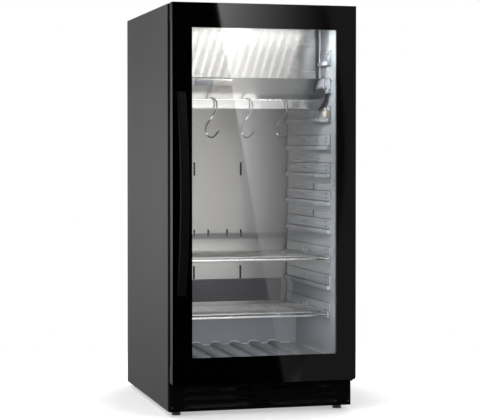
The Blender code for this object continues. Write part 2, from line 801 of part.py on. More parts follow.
def make_air_guide(cabinet):
    """The open-topped duct under the housing: a sloping front behind the rail and a slotted floor."""
    back = BACK_PANEL_FRONT - FIT
    top = HOUSING_BOTTOM - FIT
    run = SLOPE_BACK - SLOPE_FRONT
    fall = top - GUIDE_BOTTOM
    shift = SHEET * (math.hypot(run, fall) - run) / fall
    outline = (
        (SLOPE_FRONT, top),
        (SLOPE_BACK, GUIDE_BOTTOM),
        (back, GUIDE_BOTTOM),
        (back, top),
    )
    rise = OVERRUN / fall
    inner = (
        (SLOPE_FRONT + shift - rise * run, top + SHEET + OVERRUN),
        (SLOPE_BACK + shift, GUIDE_BOTTOM + SHEET),
        (back - SHEET, GUIDE_BOTTOM + SHEET),
        (back - SHEET, top + SHEET + OVERRUN),
    )
    bm = bmesh.new()
    add_prism(bm, outline, along_x, -GUIDE_HALF, GUIDE_HALF)
    guide = piece("air_guide", bm, "stainless", cabinet)
    bm = bmesh.new()
    add_prism(bm, inner, along_x, SHEET - GUIDE_HALF, GUIDE_HALF - SHEET)
    boolean(guide, bm, "DIFFERENCE", cabinet)
    bm = bmesh.new()
    first = -(GRILLE_BARS - 1) * GRILLE_BAR_PITCH / 2
    for i in range(GRILLE_BARS):
        x = first + i * GRILLE_BAR_PITCH
        low = (x - GRILLE_SLOT / 2, GRILLE_START, GUIDE_BOTTOM - OVERRUN)
        high = (x + GRILLE_SLOT / 2, GRILLE_START + GRILLE_LENGTH, GUIDE_BOTTOM + 2 * SHEET)
        add_box(bm, low, high)
    boolean(guide, bm, "DIFFERENCE", cabinet)

    slope = Vector((0, run, -fall)).normalized()
    out = Vector((0, -fall, -run)).normalized()
    start = Vector((FILTER_MIDDLE, SLOPE_FRONT, top)) + slope * FILTER_EDGE + out * FIT
    bm = bmesh.new()
    corners = []
    for across in (-FILTER_WIDTH / 2, FILTER_WIDTH / 2):
        for down in (0, FILTER_LENGTH):
            for proud in (0, FILTER_THICKNESS):
                corners.append(start + Vector((across, 0, 0)) + slope * down + out * proud)
    for corner in corners:
        bm.verts.new(corner)
    bmesh.ops.convex_hull(bm, input=list(bm.verts))
    piece("carbon_filter", bm, "carbon_felt", cabinet)


def make_light(cabinet):
    half = LIGHT_WIDTH / 2
    top = CAVITY_TOP - FIT
    bottom = top - LIGHT_HEIGHT
    back = LIGHT_FRONT + LIGHT_DEPTH
    outline = (
        (LIGHT_FRONT, bottom),
        (LIGHT_FRONT + LENS_THICKNESS, bottom),
        (LIGHT_FRONT + LENS_THICKNESS, bottom + LENS_THICKNESS),
        (back - LENS_THICKNESS, bottom + LENS_THICKNESS),
        (back - LENS_THICKNESS, bottom),
        (back, bottom),
        (back, top),
        (LIGHT_FRONT, top),
    )
    bm = bmesh.new()
    add_prism(bm, outline, along_x, -half, half)
    piece("light_housing", bm, "white_plastic", cabinet)
    edge = LENS_THICKNESS + FIT
    bm = bmesh.new()
    low = (-half, LIGHT_FRONT + edge, bottom)
    add_box(bm, low, (half, back - edge, bottom + LENS_THICKNESS - FIT))
    piece("light_lens", bm, "light_lens", cabinet)


def make_coil(name, low, size, fins, turn_axis, cabinet):
    """A finned heat exchanger: fins side by side on one core, with open air between them."""
    bm = bmesh.new()
    add_box(bm, low, Vector(low) + Vector(size))
    coil = piece(name, bm, "fin_aluminium", cabinet)
    pitch = (size[turn_axis] - FIN_THICKNESS) / (fins - 1)
    bm = bmesh.new()
    gap = pitch - FIN_THICKNESS
    across = 1 - turn_axis
    core = size[across] * COIL_CORE_SHARE
    for i in range(fins - 1):
        for near in (True, False):
            corner = Vector(low)
            reach = Vector(size)
            corner[turn_axis] += FIN_THICKNESS + i * pitch
            reach[turn_axis] = gap
            corner.z -= OVERRUN
            reach.z += 2 * OVERRUN
            reach[across] = (size[across] - core) / 2 + OVERRUN
            if near:
                corner[across] -= OVERRUN
            else:
                corner[across] += (size[across] + core) / 2
            add_box(bm, corner, corner + reach)
    boolean(coil, bm, "DIFFERENCE", cabinet)


def fan_mesh(radius, centre, axis):
    """Hub and twisted blades of an axial fan, with its hub's axis along axis."""
    hub = bmesh.new()
    add_rod(hub, (0, 0, -FAN_HUB_LENGTH / 2), (0, 0, FAN_HUB_LENGTH / 2), FAN_HUB_RADIUS, POST_SIDES)
    blades = bmesh.new()
    root = FAN_HUB_RADIUS - BLADE_SINK
    for blade in range(FAN_BLADES):
        turn = Matrix.Rotation(math.tau * blade / FAN_BLADES, 3, "Z")
        rings = []
        for i in range(FAN_STATIONS):
            share = i / (FAN_STATIONS - 1)
            reach = root + share * (radius - root)
            pitch = math.radians(FAN_ROOT_PITCH + (FAN_TIP_PITCH - FAN_ROOT_PITCH) * share)
            chord = FAN_CHORD * (FAN_ROOT_CHORD_SHARE + (1 - FAN_ROOT_CHORD_SHARE) * share)
            if i == 0:
                chord = min(chord, FAN_HUB_LENGTH)
            along = Vector((0, math.cos(pitch), math.sin(pitch)))
            thick = Vector((0, -math.sin(pitch), math.cos(pitch))) * BLADE_THICKNESS / 2
            sweep = Vector((0, FAN_CHORD * FAN_SWEEP_SHARE * share, 0))
            middle = Vector((reach, 0, 0)) + sweep
            corners = (
                middle - along * chord / 2 - thick,
                middle + along * chord / 2 - thick,
                middle + along * chord / 2 + thick,
                middle - along * chord / 2 + thick,
            )
            rings.append([blades.verts.new(turn @ corner) for corner in corners])
        for ring, following in zip(rings, rings[1:]):
            for k in range(4):
                j = (k + 1) % 4
                blades.faces.new((ring[k], ring[j], following[j], following[k]))
        blades.faces.new(rings[0])
        blades.faces.new(rings[-1])
    bmesh.ops.recalc_face_normals(blades, faces=blades.faces)
    matrix = Matrix.Translation(centre) @ Vector(axis).to_track_quat("Z", "Y").to_matrix().to_4x4()
    for bm in (hub, blades):
        bmesh.ops.transform(bm, matrix=matrix, verts=bm.verts)
    return hub, blades


def make_fan_set(name, centre, axis, radius, plate_half, cabinet):
    """One axial fan: the turning wheel, the shroud round it, and the motor behind it on four arms."""
    centre = Vector(centre)
    axis = Vector(axis)
    pivot = axis_empty(f"{name}_axis", centre, cabinet)
    hub, blades = fan_mesh(radius, centre, axis)
    bore_end = centre - axis * (FAN_HUB_LENGTH / 2)
    wheel = piece(name, hub, "black_plastic", pivot, centre)
    boolean(wheel, blades, "UNION", cabinet)
    bm = bmesh.new()
    start = bore_end - axis * OVERRUN
    add_rod(bm, start, centre, SHAFT_RADIUS + PIN_CLEARANCE, GLAND_SIDES)
    boolean(wheel, bm, "DIFFERENCE", cabinet)

    plane = centre - axis * (FAN_HUB_LENGTH / 2 + SHROUD_THICKNESS)
    across = [Vector((0, 0, 1)), axis.cross(Vector((0, 0, 1)))]
    corner = plate_half[0] * across[0] + plate_half[1] * across[1]
    low = plane - corner
    high = plane + corner + axis * SHROUD_THICKNESS
    bm = bmesh.new()
    add_box(bm, [min(a, b) for a, b in zip(low, high)], [max(a, b) for a, b in zip(low, high)])
    shroud = piece(f"{name}_shroud", bm, "black_plastic", cabinet)
    bm = bmesh.new()
    lip_end = plane + axis * (SHROUD_THICKNESS + SHROUD_LIP)
    add_rod(bm, plane + axis * BOSS_SINK, lip_end, radius + FAN_TIP_GAP + SHROUD_THICKNESS, SHROUD_SIDES)
    boolean(shroud, bm, "UNION", cabinet)
    bm = bmesh.new()
    hole = radius + FAN_TIP_GAP
    add_rod(bm, plane - axis * OVERRUN, lip_end + axis * OVERRUN, hole, SHROUD_SIDES)
    boolean(shroud, bm, "DIFFERENCE", cabinet)
    bm = bmesh.new()
    arm = MOTOR_ARM / 2
    for direction in across:
        reach = radius + FAN_TIP_GAP + BOSS_SINK
        low = plane - direction * reach
        high = plane + direction * reach
        other = across[1] if direction is across[0] else across[0]
        a = low - other * arm - axis * SHROUD_THICKNESS
        b = high + other * arm + axis * BOSS_SINK
        add_box(bm, [min(p, q) for p, q in zip(a, b)], [max(p, q) for p, q in zip(a, b)])
    boolean(shroud, bm, "UNION", cabinet, own_overlaps=True)

    bm = bmesh.new()
    face = plane - axis * (SHROUD_THICKNESS + FIT)
    add_rod(bm, face - axis * MOTOR_LENGTH, face, MOTOR_RADIUS, POST_SIDES)
    motor = piece(f"{name}_motor", bm, "zinc_sheet", cabinet)
    bm = bmesh.new()
    add_rod(bm, face - axis * BOSS_SINK, centre - axis * FIT, SHAFT_RADIUS, GLAND_SIDES)
    boolean(motor, bm, "UNION", cabinet)
    bm = bmesh.new()
    hole = SHAFT_RADIUS + PIN_CLEARANCE
    add_rod(bm, plane - axis * OVERRUN, plane + axis * OVERRUN, hole, GLAND_SIDES)
    boolean(shroud, bm, "DIFFERENCE", cabinet)


def make_evaporator(cabinet):
    low = (-COIL_WIDTH / 2, COIL_BACK - COIL_DEPTH, COIL_BOTTOM)
    size = (COIL_WIDTH, COIL_DEPTH, COIL_HEIGHT)
    make_coil("evaporator_coil", low, size, COIL_FINS, 0, cabinet)
    plate = (COIL_HEIGHT / 2 + COIL_BASE_GAP - SHEET - FIT, COIL_WIDTH / 2)
    centre = (0, HOUSING_FAN_Y, HOUSING_FAN_Z)
    make_fan_set("evaporator_fan", centre, (0, 1, 0), FAN_RADIUS, plate, cabinet)

    margin = DRIP_TRAY_MARGIN
    bottom = HOUSING_BOTTOM + SHEET + FIT
    low = Vector((-COIL_WIDTH / 2 - margin, COIL_BACK - COIL_DEPTH - margin, bottom))
    high = Vector((COIL_WIDTH / 2 + margin, COIL_BACK + margin, bottom + DRIP_TRAY_HEIGHT))
    wall = Vector((TRAY_WALL, TRAY_WALL, TRAY_WALL))
    bm = bmesh.new()
    add_box(bm, low, high)
    tray = piece("defrost_channel", bm, "white_plastic", cabinet)
    bm = bmesh.new()
    inner_high = high - wall
    inner_high.z = high.z + OVERRUN
    add_box(bm, low + wall, inner_high)
    boolean(tray, bm, "DIFFERENCE", cabinet)
    bm = bmesh.new()
    foot_top = COIL_BOTTOM - FIT
    for side in (-1, 1):
        x = side * COIL_WIDTH / 4
        y = COIL_BACK - COIL_DEPTH / 2
        start = (x, y, bottom + TRAY_WALL - BOSS_SINK)
        add_rod(bm, start, (x, y, foot_top), COIL_TUBE_RADIUS, GLAND_SIDES)
    boolean(tray, bm, "UNION", cabinet)


def rail_bracket_outline():
    """The bracket's plate as (y, z): a long top edge, and sides that taper to a foot below the rail."""
    y = RAIL_FROM_FRONT
    top = ledge_height(SEAT_LEVEL) + FIT + BRACKET_SHEET
    foot = RAIL_TOP - RAIL_HEIGHT - BRACKET_FOOT_DROP
    return (
        (y - BRACKET_FRONT_REACH, top),
        (y - BRACKET_TOP_BACK, top),
        (y + BRACKET_BACK_REACH, RAIL_TOP + BRACKET_SHOULDER),
        (y + BRACKET_BACK_REACH, RAIL_TOP - BRACKET_BACK_DROP),
        (y + BRACKET_FOOT_BACK, foot),
        (y - BRACKET_FOOT_FRONT, foot),
        (y - BRACKET_FRONT_REACH, RAIL_TOP - BRACKET_FRONT_DROP),
    )


def make_rail(cabinet):
    """A flat bar with round edges, whose ends sit in a slot of each bracket."""
    bracket_x = CAVITY_HALF - LIP_REACH - FIT
    half = CAVITY_HALF - RAIL_END_GAP
    radius = RAIL_THICKNESS / 2
    outline = []
    for centre, first in ((RAIL_TOP - radius, 0), (RAIL_TOP - RAIL_HEIGHT + radius, math.pi)):
        for k in range(RAIL_EDGE_SEGMENTS + 1):
            angle = first + math.pi * k / RAIL_EDGE_SEGMENTS
            outline.append((RAIL_FROM_FRONT + radius * math.cos(angle), centre + radius * math.sin(angle)))
    bm = bmesh.new()
    add_prism(bm, outline, along_x, -half, half)
    piece("hanging_rail", bm, "polished_steel", cabinet)

    seat = ledge_height(SEAT_LEVEL) + FIT
    tab_top = seat + BRACKET_SHEET
    for side, name in ((-1, "rail_bracket_left"), (1, "rail_bracket_right")):
        outer = side * bracket_x
        inner = side * (bracket_x - BRACKET_SHEET)
        bm = bmesh.new()
        add_prism(bm, rail_bracket_outline(), along_x, inner, outer)
        bracket = piece(name, bm, "stainless", cabinet)
        bm = bmesh.new()
        slot_half = radius + FIT
        low = (side * (bracket_x + OVERRUN), RAIL_FROM_FRONT - slot_half, RAIL_TOP - RAIL_HEIGHT - FIT)
        high = (side * (bracket_x - OVERRUN), RAIL_FROM_FRONT + slot_half, RAIL_TOP + FIT)
        add_box(bm, [min(a, b) for a, b in zip(low, high)], [max(a, b) for a, b in zip(low, high)])
        boolean(bracket, bm, "DIFFERENCE", cabinet)
        bm = bmesh.new()
        tab_end = side * (CAVITY_HALF - STRIP_REACH - FIT)
        root = side * (bracket_x - BRACKET_SHEET / 2)
        front = RAIL_FROM_FRONT - BRACKET_FRONT_REACH
        low = (min(root, tab_end), front, seat)
        add_box(bm, low, (max(root, tab_end), RAIL_FROM_FRONT - BRACKET_TOP_BACK, tab_top))
        boolean(bracket, bm, "UNION", cabinet)


def hook_line():
    """The centre line of an S-hook in its own plane: (sideways, height above the rail's axis)."""
    radius = HOOK_LOOP_RADIUS
    apex = RAIL_THICKNESS / 2 + HOOK_GAP + HOOK_WIRE
    upper = apex - radius
    lower = apex + 2 * HOOK_WIRE - HOOK_HEIGHT + radius
    cross = math.degrees(math.asin(2 * radius / (upper - lower)))
    line = []
    sweep = HOOK_TIP_ANGLE + cross
    for k in range(HOOK_ARC_STEPS + 1):
        angle = math.radians(HOOK_TIP_ANGLE - sweep * k / HOOK_ARC_STEPS)
        line.append((radius * math.cos(angle), upper + radius * math.sin(angle)))
    first = 180 - cross
    for k in range(HOOK_ARC_STEPS + 1):
        angle = math.radians(first + (HOOK_FLARE_ANGLE - first) * k / HOOK_ARC_STEPS)
        line.append((radius * math.cos(angle), lower + radius * math.sin(angle)))
    angle = math.radians(HOOK_FLARE_ANGLE)
    end = line[-1]
    line.append((end[0] - HOOK_FLARE * math.sin(angle), end[1] + HOOK_FLARE * math.cos(angle)))
    return line


def make_hooks(cabinet):
    turn = math.radians(HOOK_TURN)
    for i, name in enumerate(HOOK_NAMES):
        x = HOOK_MIDDLE + (i - 1) * HOOK_SPACING
        pivot = Vector((x, RAIL_FROM_FRONT, RAIL_AXIS))
        axis = axis_empty(f"hook_{name}_axis", pivot, cabinet)
        knots = [
            pivot + Vector((across * math.cos(turn), -across * math.sin(turn), height))
            for across, height in hook_line()
        ]
        bm = bmesh.new()
        add_tube(bm, knots, HOOK_WIRE, HOOK_SIDES)
        piece(f"hook_{name}", bm, "polished_steel", axis, pivot)


def shelf_frame(height):
    """The line of a shelf's edge rod: two level sides and a back with round corners, open at the front."""
    back = Vector((SHELF_ROD_X, SHELF_BACK, height))
    back_left = Vector((-SHELF_ROD_X, SHELF_BACK, height))
    front = Vector((SHELF_ROD_X, SHELF_FRONT - WELD_DEPTH, height))
    right = [*rounded_corner(back_left, back, front, SHELF_BEND, BEND_STEPS), front]
    left = [Vector((-point.x, point.y, point.z)) for point in reversed(right)]
    return left + right


def make_shelf(name, level, cabinet):
    """One welded wire shelf, whose front bar hangs just below the ledges in front of their ends."""
    height = ledge_height(level) + FIT + SHELF_ROD
    bar_height = height - FRONT_BAR_DROP
    pivot = Vector((0, SHELF_FRONT, height))
    axis = axis_empty(f"{name}_axis", pivot, cabinet)
    bm = bmesh.new()
    add_tube(bm, shelf_frame(height), SHELF_ROD, SHELF_ROD_SIDES)
    shelf = piece(name, bm, "polished_steel", axis, pivot)

    bm = bmesh.new()
    bar_half = SHELF_ROD_X + FRONT_BAR_OVERHANG
    start = (-bar_half, SHELF_FRONT, bar_height)
    add_rod(bm, start, (bar_half, SHELF_FRONT, bar_height), FRONT_BAR, FRONT_BAR_SIDES)
    for side in (-1, 1):
        x = side * (SHELF_ROD_X - FRONT_BAR_OVERHANG)
        add_rod(bm, (x, SHELF_FRONT, bar_height), (x, SHELF_FRONT, height), POST_ROD, SHELF_ROD_SIDES)
    cross_height = height + CROSS_ROD_RISE
    half = SHELF_ROD_X - CROSS_END_GAP
    for i in range(CROSS_COUNT):
        y = SHELF_FRONT + CROSS_START + i * CROSS_PITCH
        add_rod(bm, (-half, y, cross_height), (half, y, cross_height), CROSS_ROD, CROSS_ROD_SIDES)
    support_height = cross_height - 2 * CROSS_ROD + WELD_DEPTH
    for i in range(SHELF_SUPPORTS):
        x = SHELF_ROD_X * (2 * (i + 1) / (SHELF_SUPPORTS + 1) - 1)
        start = (x, SHELF_FRONT, support_height)
        add_rod(bm, start, (x, SHELF_BACK, support_height), CROSS_ROD, CROSS_ROD_SIDES)
    for side in (-1, 1):
        x = side * SHELF_ROD_X
        for setback in STOP_SETBACKS:
            y = SHELF_BACK - setback
            add_rod(bm, (x, y, height), (x, y, height + STOP_HEIGHT), CROSS_ROD, CROSS_ROD_SIDES)
    boolean(shelf, bm, "UNION", cabinet, own_overlaps=True)


def ridge_outline(low, half, wall):
    """The tray's waved top as (x, z) points from left to right, lowered and narrowed by a wall."""
    first = -(RIDGE_COUNT - 1) * RIDGE_PITCH / 2
    points = [(-half, low)]
    for i in range(RIDGE_COUNT):
        centre = first + i * RIDGE_PITCH
        for k in range(RIDGE_STEPS + 1):
            angle = math.pi * (1 - k / RIDGE_STEPS)
            x = centre + (RIDGE_WIDTH / 2 - wall) * math.cos(angle)
            points.append((x, low + RIDGE_HEIGHT * math.sin(angle)))
    points.append((half, low))
    return points


def make_tray(cabinet):
    """The loose drip tray with half-round ridges that run from front to back."""
    half = CAVITY_HALF - TRAY_SIDE_GAP
    back = HUMP_FRONT - TRAY_HUMP_GAP
    bottom = FLOOR_HEIGHT + FIT
    low = bottom + TRAY_RISE
    corner_half = half - CORNER_RADIUS
    pivot = Vector((0, TRAY_FRONT, bottom))
    axis = axis_empty("drip_tray_axis", pivot, cabinet)
    outline = ridge_outline(low, half, 0)
    outline += [(half, bottom + TRAY_EDGE_RISE), (corner_half, bottom)]
    outline += [(-corner_half, bottom), (-half, bottom + TRAY_EDGE_RISE)]
    bm = bmesh.new()
    add_prism(bm, outline, along_y, TRAY_FRONT, HUMP_FRONT)
    tray = piece("drip_tray", bm, "liner_grey", axis, pivot)
    boolean(tray, hump_mesh(-TRAY_HUMP_GAP), "DIFFERENCE", cabinet)
    inner_half = corner_half - TRAY_WALL
    inner = ridge_outline(low - TRAY_WALL, inner_half, TRAY_WALL)
    inner += [(inner_half, bottom - OVERRUN), (-inner_half, bottom - OVERRUN)]
    bm = bmesh.new()
    add_prism(bm, inner, along_y, TRAY_FRONT + TRAY_WALL, back - TRAY_WALL)
    boolean(tray, bm, "DIFFERENCE", cabinet)


def make_sensor(cabinet):
    width, depth, height = SENSOR_SIZE
    seat = ledge_height(SEAT_LEVEL - 1) + FIT
    right = CAVITY_HALF - STRIP_REACH - FIT
    y = SENSOR_FROM_FRONT
    bm = bmesh.new()
    add_box(bm, (right - width, y - depth / 2, seat), (right, y + depth / 2, seat + height))
    sensor = piece("air_sensor", bm, "white_plastic", cabinet)
    bm = bmesh.new()
    for lean in (-1, 1):
        start = (right - width / 2, y + lean * depth / 5, seat + height - BOSS_SINK)
        end = (right - width / 2, y + lean * depth / 2, seat + height + SENSOR_PRONG_HEIGHT)
        add_rod(bm, start, end, SENSOR_PRONG / 2, CROSS_ROD_SIDES)
    boolean(sensor, bm, "UNION", cabinet)


def rounded_plate(bm, front, back, half, bottom, top, radius):
    """An upright plate whose two lower corners are rounded."""
    outline = [(half, top), (-half, top)]
    for side, first in ((-1, math.pi), (1, -math.pi / 2)):
        for k in range(DOOR_CORNER_STEPS + 1):
            angle = first + math.pi / 2 * k / DOOR_CORNER_STEPS
            x = side * (half - radius) + radius * math.cos(angle)
            outline.append((x, bottom + radius + radius * math.sin(angle)))
    add_prism(bm, outline, along_y, front, back)


def stile_outline(side):
    """Section of a door stile: body, and the lip that holds the inner pane."""
    outer = HALF_WIDTH
    body = outer - STILE_BODY
    lip = body - LIP_COVER
    lip_front = DOOR_FRONT + LIP_FRONT
    return [
        (side * outer, FRAME_FRONT),
        (side * outer, DOOR_BACK),
        (side * (body + SLANT_START), DOOR_BACK),
        (side * lip, lip_front + LIP_THICKNESS),
        (side * lip, lip_front),
        (side * body, lip_front),
        (side * body, FRAME_FRONT),
    ]


def rail_outline(edge, direction):
    """Section of a door rail as (y, z), from its outer edge inwards."""
    body = edge + direction * RAIL_BODY
    lip = body + direction * RAIL_LIP_COVER
    lip_front = DOOR_FRONT + LIP_FRONT
    return [
        (FRAME_FRONT, edge),
        (DOOR_BACK, edge),
        (DOOR_BACK, body - direction * SLANT_START),
        (lip_front + LIP_THICKNESS, lip),
        (lip_front, lip),
        (lip_front, body),
        (FRAME_FRONT, body),
    ]


def make_door(cabinet):
    pivot = Vector((HINGE_X, HINGE_Y, 0))
    door = axis_empty("door_axis", pivot, cabinet)
    low_body = DOOR_BOTTOM + RAIL_BODY
    high_body = CASE_TOP - RAIL_BODY
    low_lip = low_body + RAIL_LIP_COVER
    high_lip = high_body - RAIL_LIP_COVER
    body_half = HALF_WIDTH - STILE_BODY
    lip_back = DOOR_FRONT + LIP_FRONT + LIP_THICKNESS

    bm = bmesh.new()
    rounded_plate(bm, DOOR_FRONT, DOOR_FRONT + GLASS, HALF_WIDTH, DOOR_BOTTOM, CASE_TOP, DOOR_CORNER)
    piece("door_outer_glass", bm, "black_glass", door, pivot)

    for side, name in ((-1, "door_stile_left"), (1, "door_stile_right")):
        bm = bmesh.new()
        add_prism(bm, stile_outline(side), along_z, low_body + FIT, high_body - FIT)
        stile = piece(name, bm, "graphite_paint", door, pivot)
        bm = bmesh.new()
        inner = side * (body_half - OVERRUN - LIP_COVER)
        outer = side * (body_half + SLANT_START + FIT)
        for bottom, top in ((low_body - OVERRUN, low_lip + FIT), (high_lip - FIT, high_body + OVERRUN)):
            low = (min(inner, outer), DOOR_FRONT, bottom)
            add_box(bm, low, (max(inner, outer), DOOR_BACK + OVERRUN, top))
        boolean(stile, bm, "DIFFERENCE", cabinet)

    lip_half = body_half + SLANT_START
    for name, edge, direction in (
        ("door_rail_top", CASE_TOP, -1),
        ("door_rail_bottom", DOOR_BOTTOM, 1),
    ):
        bm = bmesh.new()
        add_prism(bm, rail_outline(edge, direction), along_x, -HALF_WIDTH, HALF_WIDTH)
        rail = piece(name, bm, "dark_edge", door, pivot)
        bm = bmesh.new()
        body = edge + direction * RAIL_BODY
        past = body + direction * (RAIL_LIP_COVER + OVERRUN)
        for side in (-1, 1):
            inner = side * lip_half
            outer = side * (HALF_WIDTH + OVERRUN)
            low = (min(inner, outer), DOOR_FRONT - OVERRUN, min(body, past))
            add_box(bm, low, (max(inner, outer), DOOR_BACK + OVERRUN, max(body, past)))
        boolean(rail, bm, "DIFFERENCE", cabinet)
        if direction > 0:
            trim_lower_corners(rail, cabinet)
        bore_for_pin(rail, edge, direction, cabinet)

    make_glazing(door, pivot, low_body, high_body)
    make_gasket(door, pivot)
    make_handle(door, pivot, cabinet)


def trim_lower_corners(rail, cabinet):
    """Rounds the bottom rail's lower corners to follow the glass."""
    for side in (-1, 1):
        centre_x = side * (HALF_WIDTH - DOOR_CORNER)
        centre_z = DOOR_BOTTOM + DOOR_CORNER
        past = side * (HALF_WIDTH + OVERRUN)
        outline = [(centre_x, DOOR_BOTTOM - OVERRUN), (past, DOOR_BOTTOM - OVERRUN), (past, centre_z)]
        for k in range(DOOR_CORNER_STEPS + 1):
            angle = -math.pi / 2 * k / DOOR_CORNER_STEPS
            reach = side * DOOR_CORNER * math.cos(angle)
            outline.append((centre_x + reach, centre_z + DOOR_CORNER * math.sin(angle)))
        bm = bmesh.new()
        add_prism(bm, outline, along_y, DOOR_FRONT - OVERRUN, DOOR_BACK + OVERRUN)
        boolean(rail, bm, "DIFFERENCE", cabinet)


def bore_for_pin(rail, edge, direction, cabinet):
    """The blind hole for a hinge pin, and at the top the pocket that clears the hinge leaf."""
    floor = edge
    if direction < 0:
        floor = UPPER_LEAF_TOP - HINGE_LEAF - HINGE_NOTCH_CLEARANCE
        bm = bmesh.new()
        low = (HALF_WIDTH - HINGE_NOTCH, FRAME_FRONT - OVERRUN, floor)
        add_box(bm, low, (HALF_WIDTH + OVERRUN, DOOR_BACK + OVERRUN, CASE_TOP + OVERRUN))
        boolean(rail, bm, "DIFFERENCE", cabinet)
    bm = bmesh.new()
    start = (HINGE_X, HINGE_Y, floor - direction * OVERRUN)
    end = (HINGE_X, HINGE_Y, floor + direction * (PIN_LENGTH + PIN_CLEARANCE))
    add_rod(bm, start, end, PIN_RADIUS + PIN_CLEARANCE, PIN_SIDES)
    boolean(rail, bm, "DIFFERENCE", cabinet)


def make_glazing(door, pivot, low_body, high_body):
    half = HALF_WIDTH - STILE_BODY - FIT
    low = low_body + FIT
    high = high_body - FIT
    inner_front = DOOR_FRONT + GLASS + PANE_GAP + FIT
    bm = bmesh.new()
    add_box(bm, (-half, inner_front, low), (half, inner_front + GLASS, high))
    piece("door_inner_glass", bm, "clear_glass", door, pivot)
    front = DOOR_FRONT + GLASS + FIT
    back = inner_front - FIT
    outline = ((0, front), (0, back), (-SPACER_WIDTH, back), (-SPACER_WIDTH, front))
    bm = bmesh.new()
    add_ring_sweep(bm, outline, half, low, high)
    piece("door_glass_spacer", bm, "black_plastic", door, pivot)


def make_gasket(door, pivot):
    """The magnetic bellows seal, stepped in section and mitred at its corners."""
    middle = GASKET_INSET + GASKET_WIDTH / 2
    back = -FIT
    front = DOOR_BACK + FIT
    base = GASKET_BASE_WIDTH / 2
    waist = GASKET_WAIST / 2
    head = GASKET_WIDTH / 2
    outline = (
        (-base, front),
        (-base, front + GASKET_BASE),
        (-waist, front + GASKET_BASE),
        (-waist, back - GASKET_HEAD),
        (-head, back - GASKET_HEAD),
        (-head, back),
        (head, back),
        (head, back - GASKET_HEAD),
        (waist, back - GASKET_HEAD),
        (waist, front + GASKET_BASE),
        (base, front + GASKET_BASE),
        (base, front),
    )
    bm = bmesh.new()
    add_ring_sweep(bm, outline, HALF_WIDTH - middle, DOOR_BOTTOM + middle, CASE_TOP - middle)
    piece("door_gasket", bm, "seal_black", door, pivot)


def make_handle(door, pivot, cabinet):
    """A flat bar bowed away from the glass, on two short posts."""
    half = HANDLE_LENGTH / 2
    radius = (half**2 + HANDLE_BOW**2) / (2 * HANDLE_BOW)
    sweep = math.asin(half / radius)
    middle_x = -HALF_WIDTH + HANDLE_FROM_EDGE + HANDLE_WIDTH / 2
    rear = DOOR_FRONT - HANDLE_STANDOFF - HANDLE_BOW
    centre = Vector((middle_x, rear + radius, HANDLE_MIDDLE))
    bevel = HANDLE_EDGE
    x = HANDLE_WIDTH / 2
    t = HANDLE_THICKNESS
    outline = (
        (-x, 0),
        (x, 0),
        (x, t - bevel),
        (x - bevel, t),
        (bevel - x, t),
        (-x, t - bevel),
    )
    bm = bmesh.new()
    rings = []
    for k in range(HANDLE_STEPS + 1):
        angle = -sweep + 2 * sweep * k / HANDLE_STEPS
        out = Vector((0, -math.cos(angle), math.sin(angle)))
        ring = []
        for across, depth in outline:
            ring.append(bm.verts.new(centre + Vector((across, 0, 0)) + out * (radius + depth)))
        rings.append(ring)
    for ring, following in zip(rings, rings[1:]):
        for k in range(len(outline)):
            j = (k + 1) % len(outline)
            bm.faces.new((ring[k], ring[j], following[j], following[k]))
    bm.faces.new(rings[0])
    bm.faces.new(rings[-1])
    handle = piece("door_handle", bm, "black_steel", door, pivot)
    bm = bmesh.new()
    for side in (-1, 1):
        z = HANDLE_MIDDLE + side * (half - HANDLE_POST_INSET)
        drop = radius - math.sqrt(radius**2 - (half - HANDLE_POST_INSET) ** 2)
        reach = HANDLE_BOW + HANDLE_STANDOFF - drop + HANDLE_THICKNESS / 2
        start = (middle_x, DOOR_FRONT - FIT, z)
        add_rod(bm, start, (middle_x, DOOR_FRONT - reach, z), HANDLE_POST_RADIUS, POST_SIDES)
    boolean(handle, bm, "UNION", cabinet)


def make_hinges(cabinet):
    """Two angled hinge leaves screwed to the front of the casing, each with its pin."""
    right = HALF_WIDTH - PLINTH_SIDE_GAP
    left = right - HINGE_FLANGE_WIDTH
    back = -FIT
    flange_front = back - HINGE_LEAF
    for name, leaf_bottom, direction in (
        ("bottom", LOWER_LEAF_BOTTOM, 1),
        ("top", UPPER_LEAF_TOP - HINGE_LEAF, -1),
    ):
        leaf_top = leaf_bottom + HINGE_LEAF
        if direction > 0:
            flange = (leaf_bottom, leaf_bottom + HINGE_FLANGE_HEIGHT + 2 * HINGE_LEAF)
        else:
            flange = (leaf_top - HINGE_FLANGE_HEIGHT, leaf_top)
        bm = bmesh.new()
        add_box(bm, (left, flange_front, flange[0]), (right, back, flange[1]))
        bracket = piece(f"hinge_bracket_{name}", bm, "black_steel", cabinet)
        half = HINGE_LEAF_HALF_WIDTH
        bm = bmesh.new()
        outline = [(HINGE_X + half, back - FIT), (HINGE_X - half, back - FIT)]
        for k in range(LEAF_END_STEPS + 1):
            angle = math.pi + math.pi * k / LEAF_END_STEPS
            outline.append((HINGE_X + half * math.cos(angle), HINGE_Y + half * math.sin(angle)))
        add_prism(bm, outline, along_z, leaf_bottom, leaf_top)
        boolean(bracket, bm, "UNION", cabinet)
        bm = bmesh.new()
        start = (HINGE_X, HINGE_Y, leaf_bottom - OVERRUN)
        add_rod(bm, start, (HINGE_X, HINGE_Y, leaf_top + OVERRUN), PIN_RADIUS + FIT, PIN_SIDES)
        boolean(bracket, bm, "DIFFERENCE", cabinet)

        bm = bmesh.new()
        if direction > 0:
            start = leaf_bottom
            end = DOOR_BOTTOM + PIN_LENGTH
        else:
            start = leaf_top
            end = leaf_bottom - HINGE_NOTCH_CLEARANCE - PIN_LENGTH
        add_rod(bm, (HINGE_X, HINGE_Y, start), (HINGE_X, HINGE_Y, end), PIN_RADIUS, PIN_SIDES)
        piece(f"hinge_pin_{name}", bm, "polished_steel", cabinet)


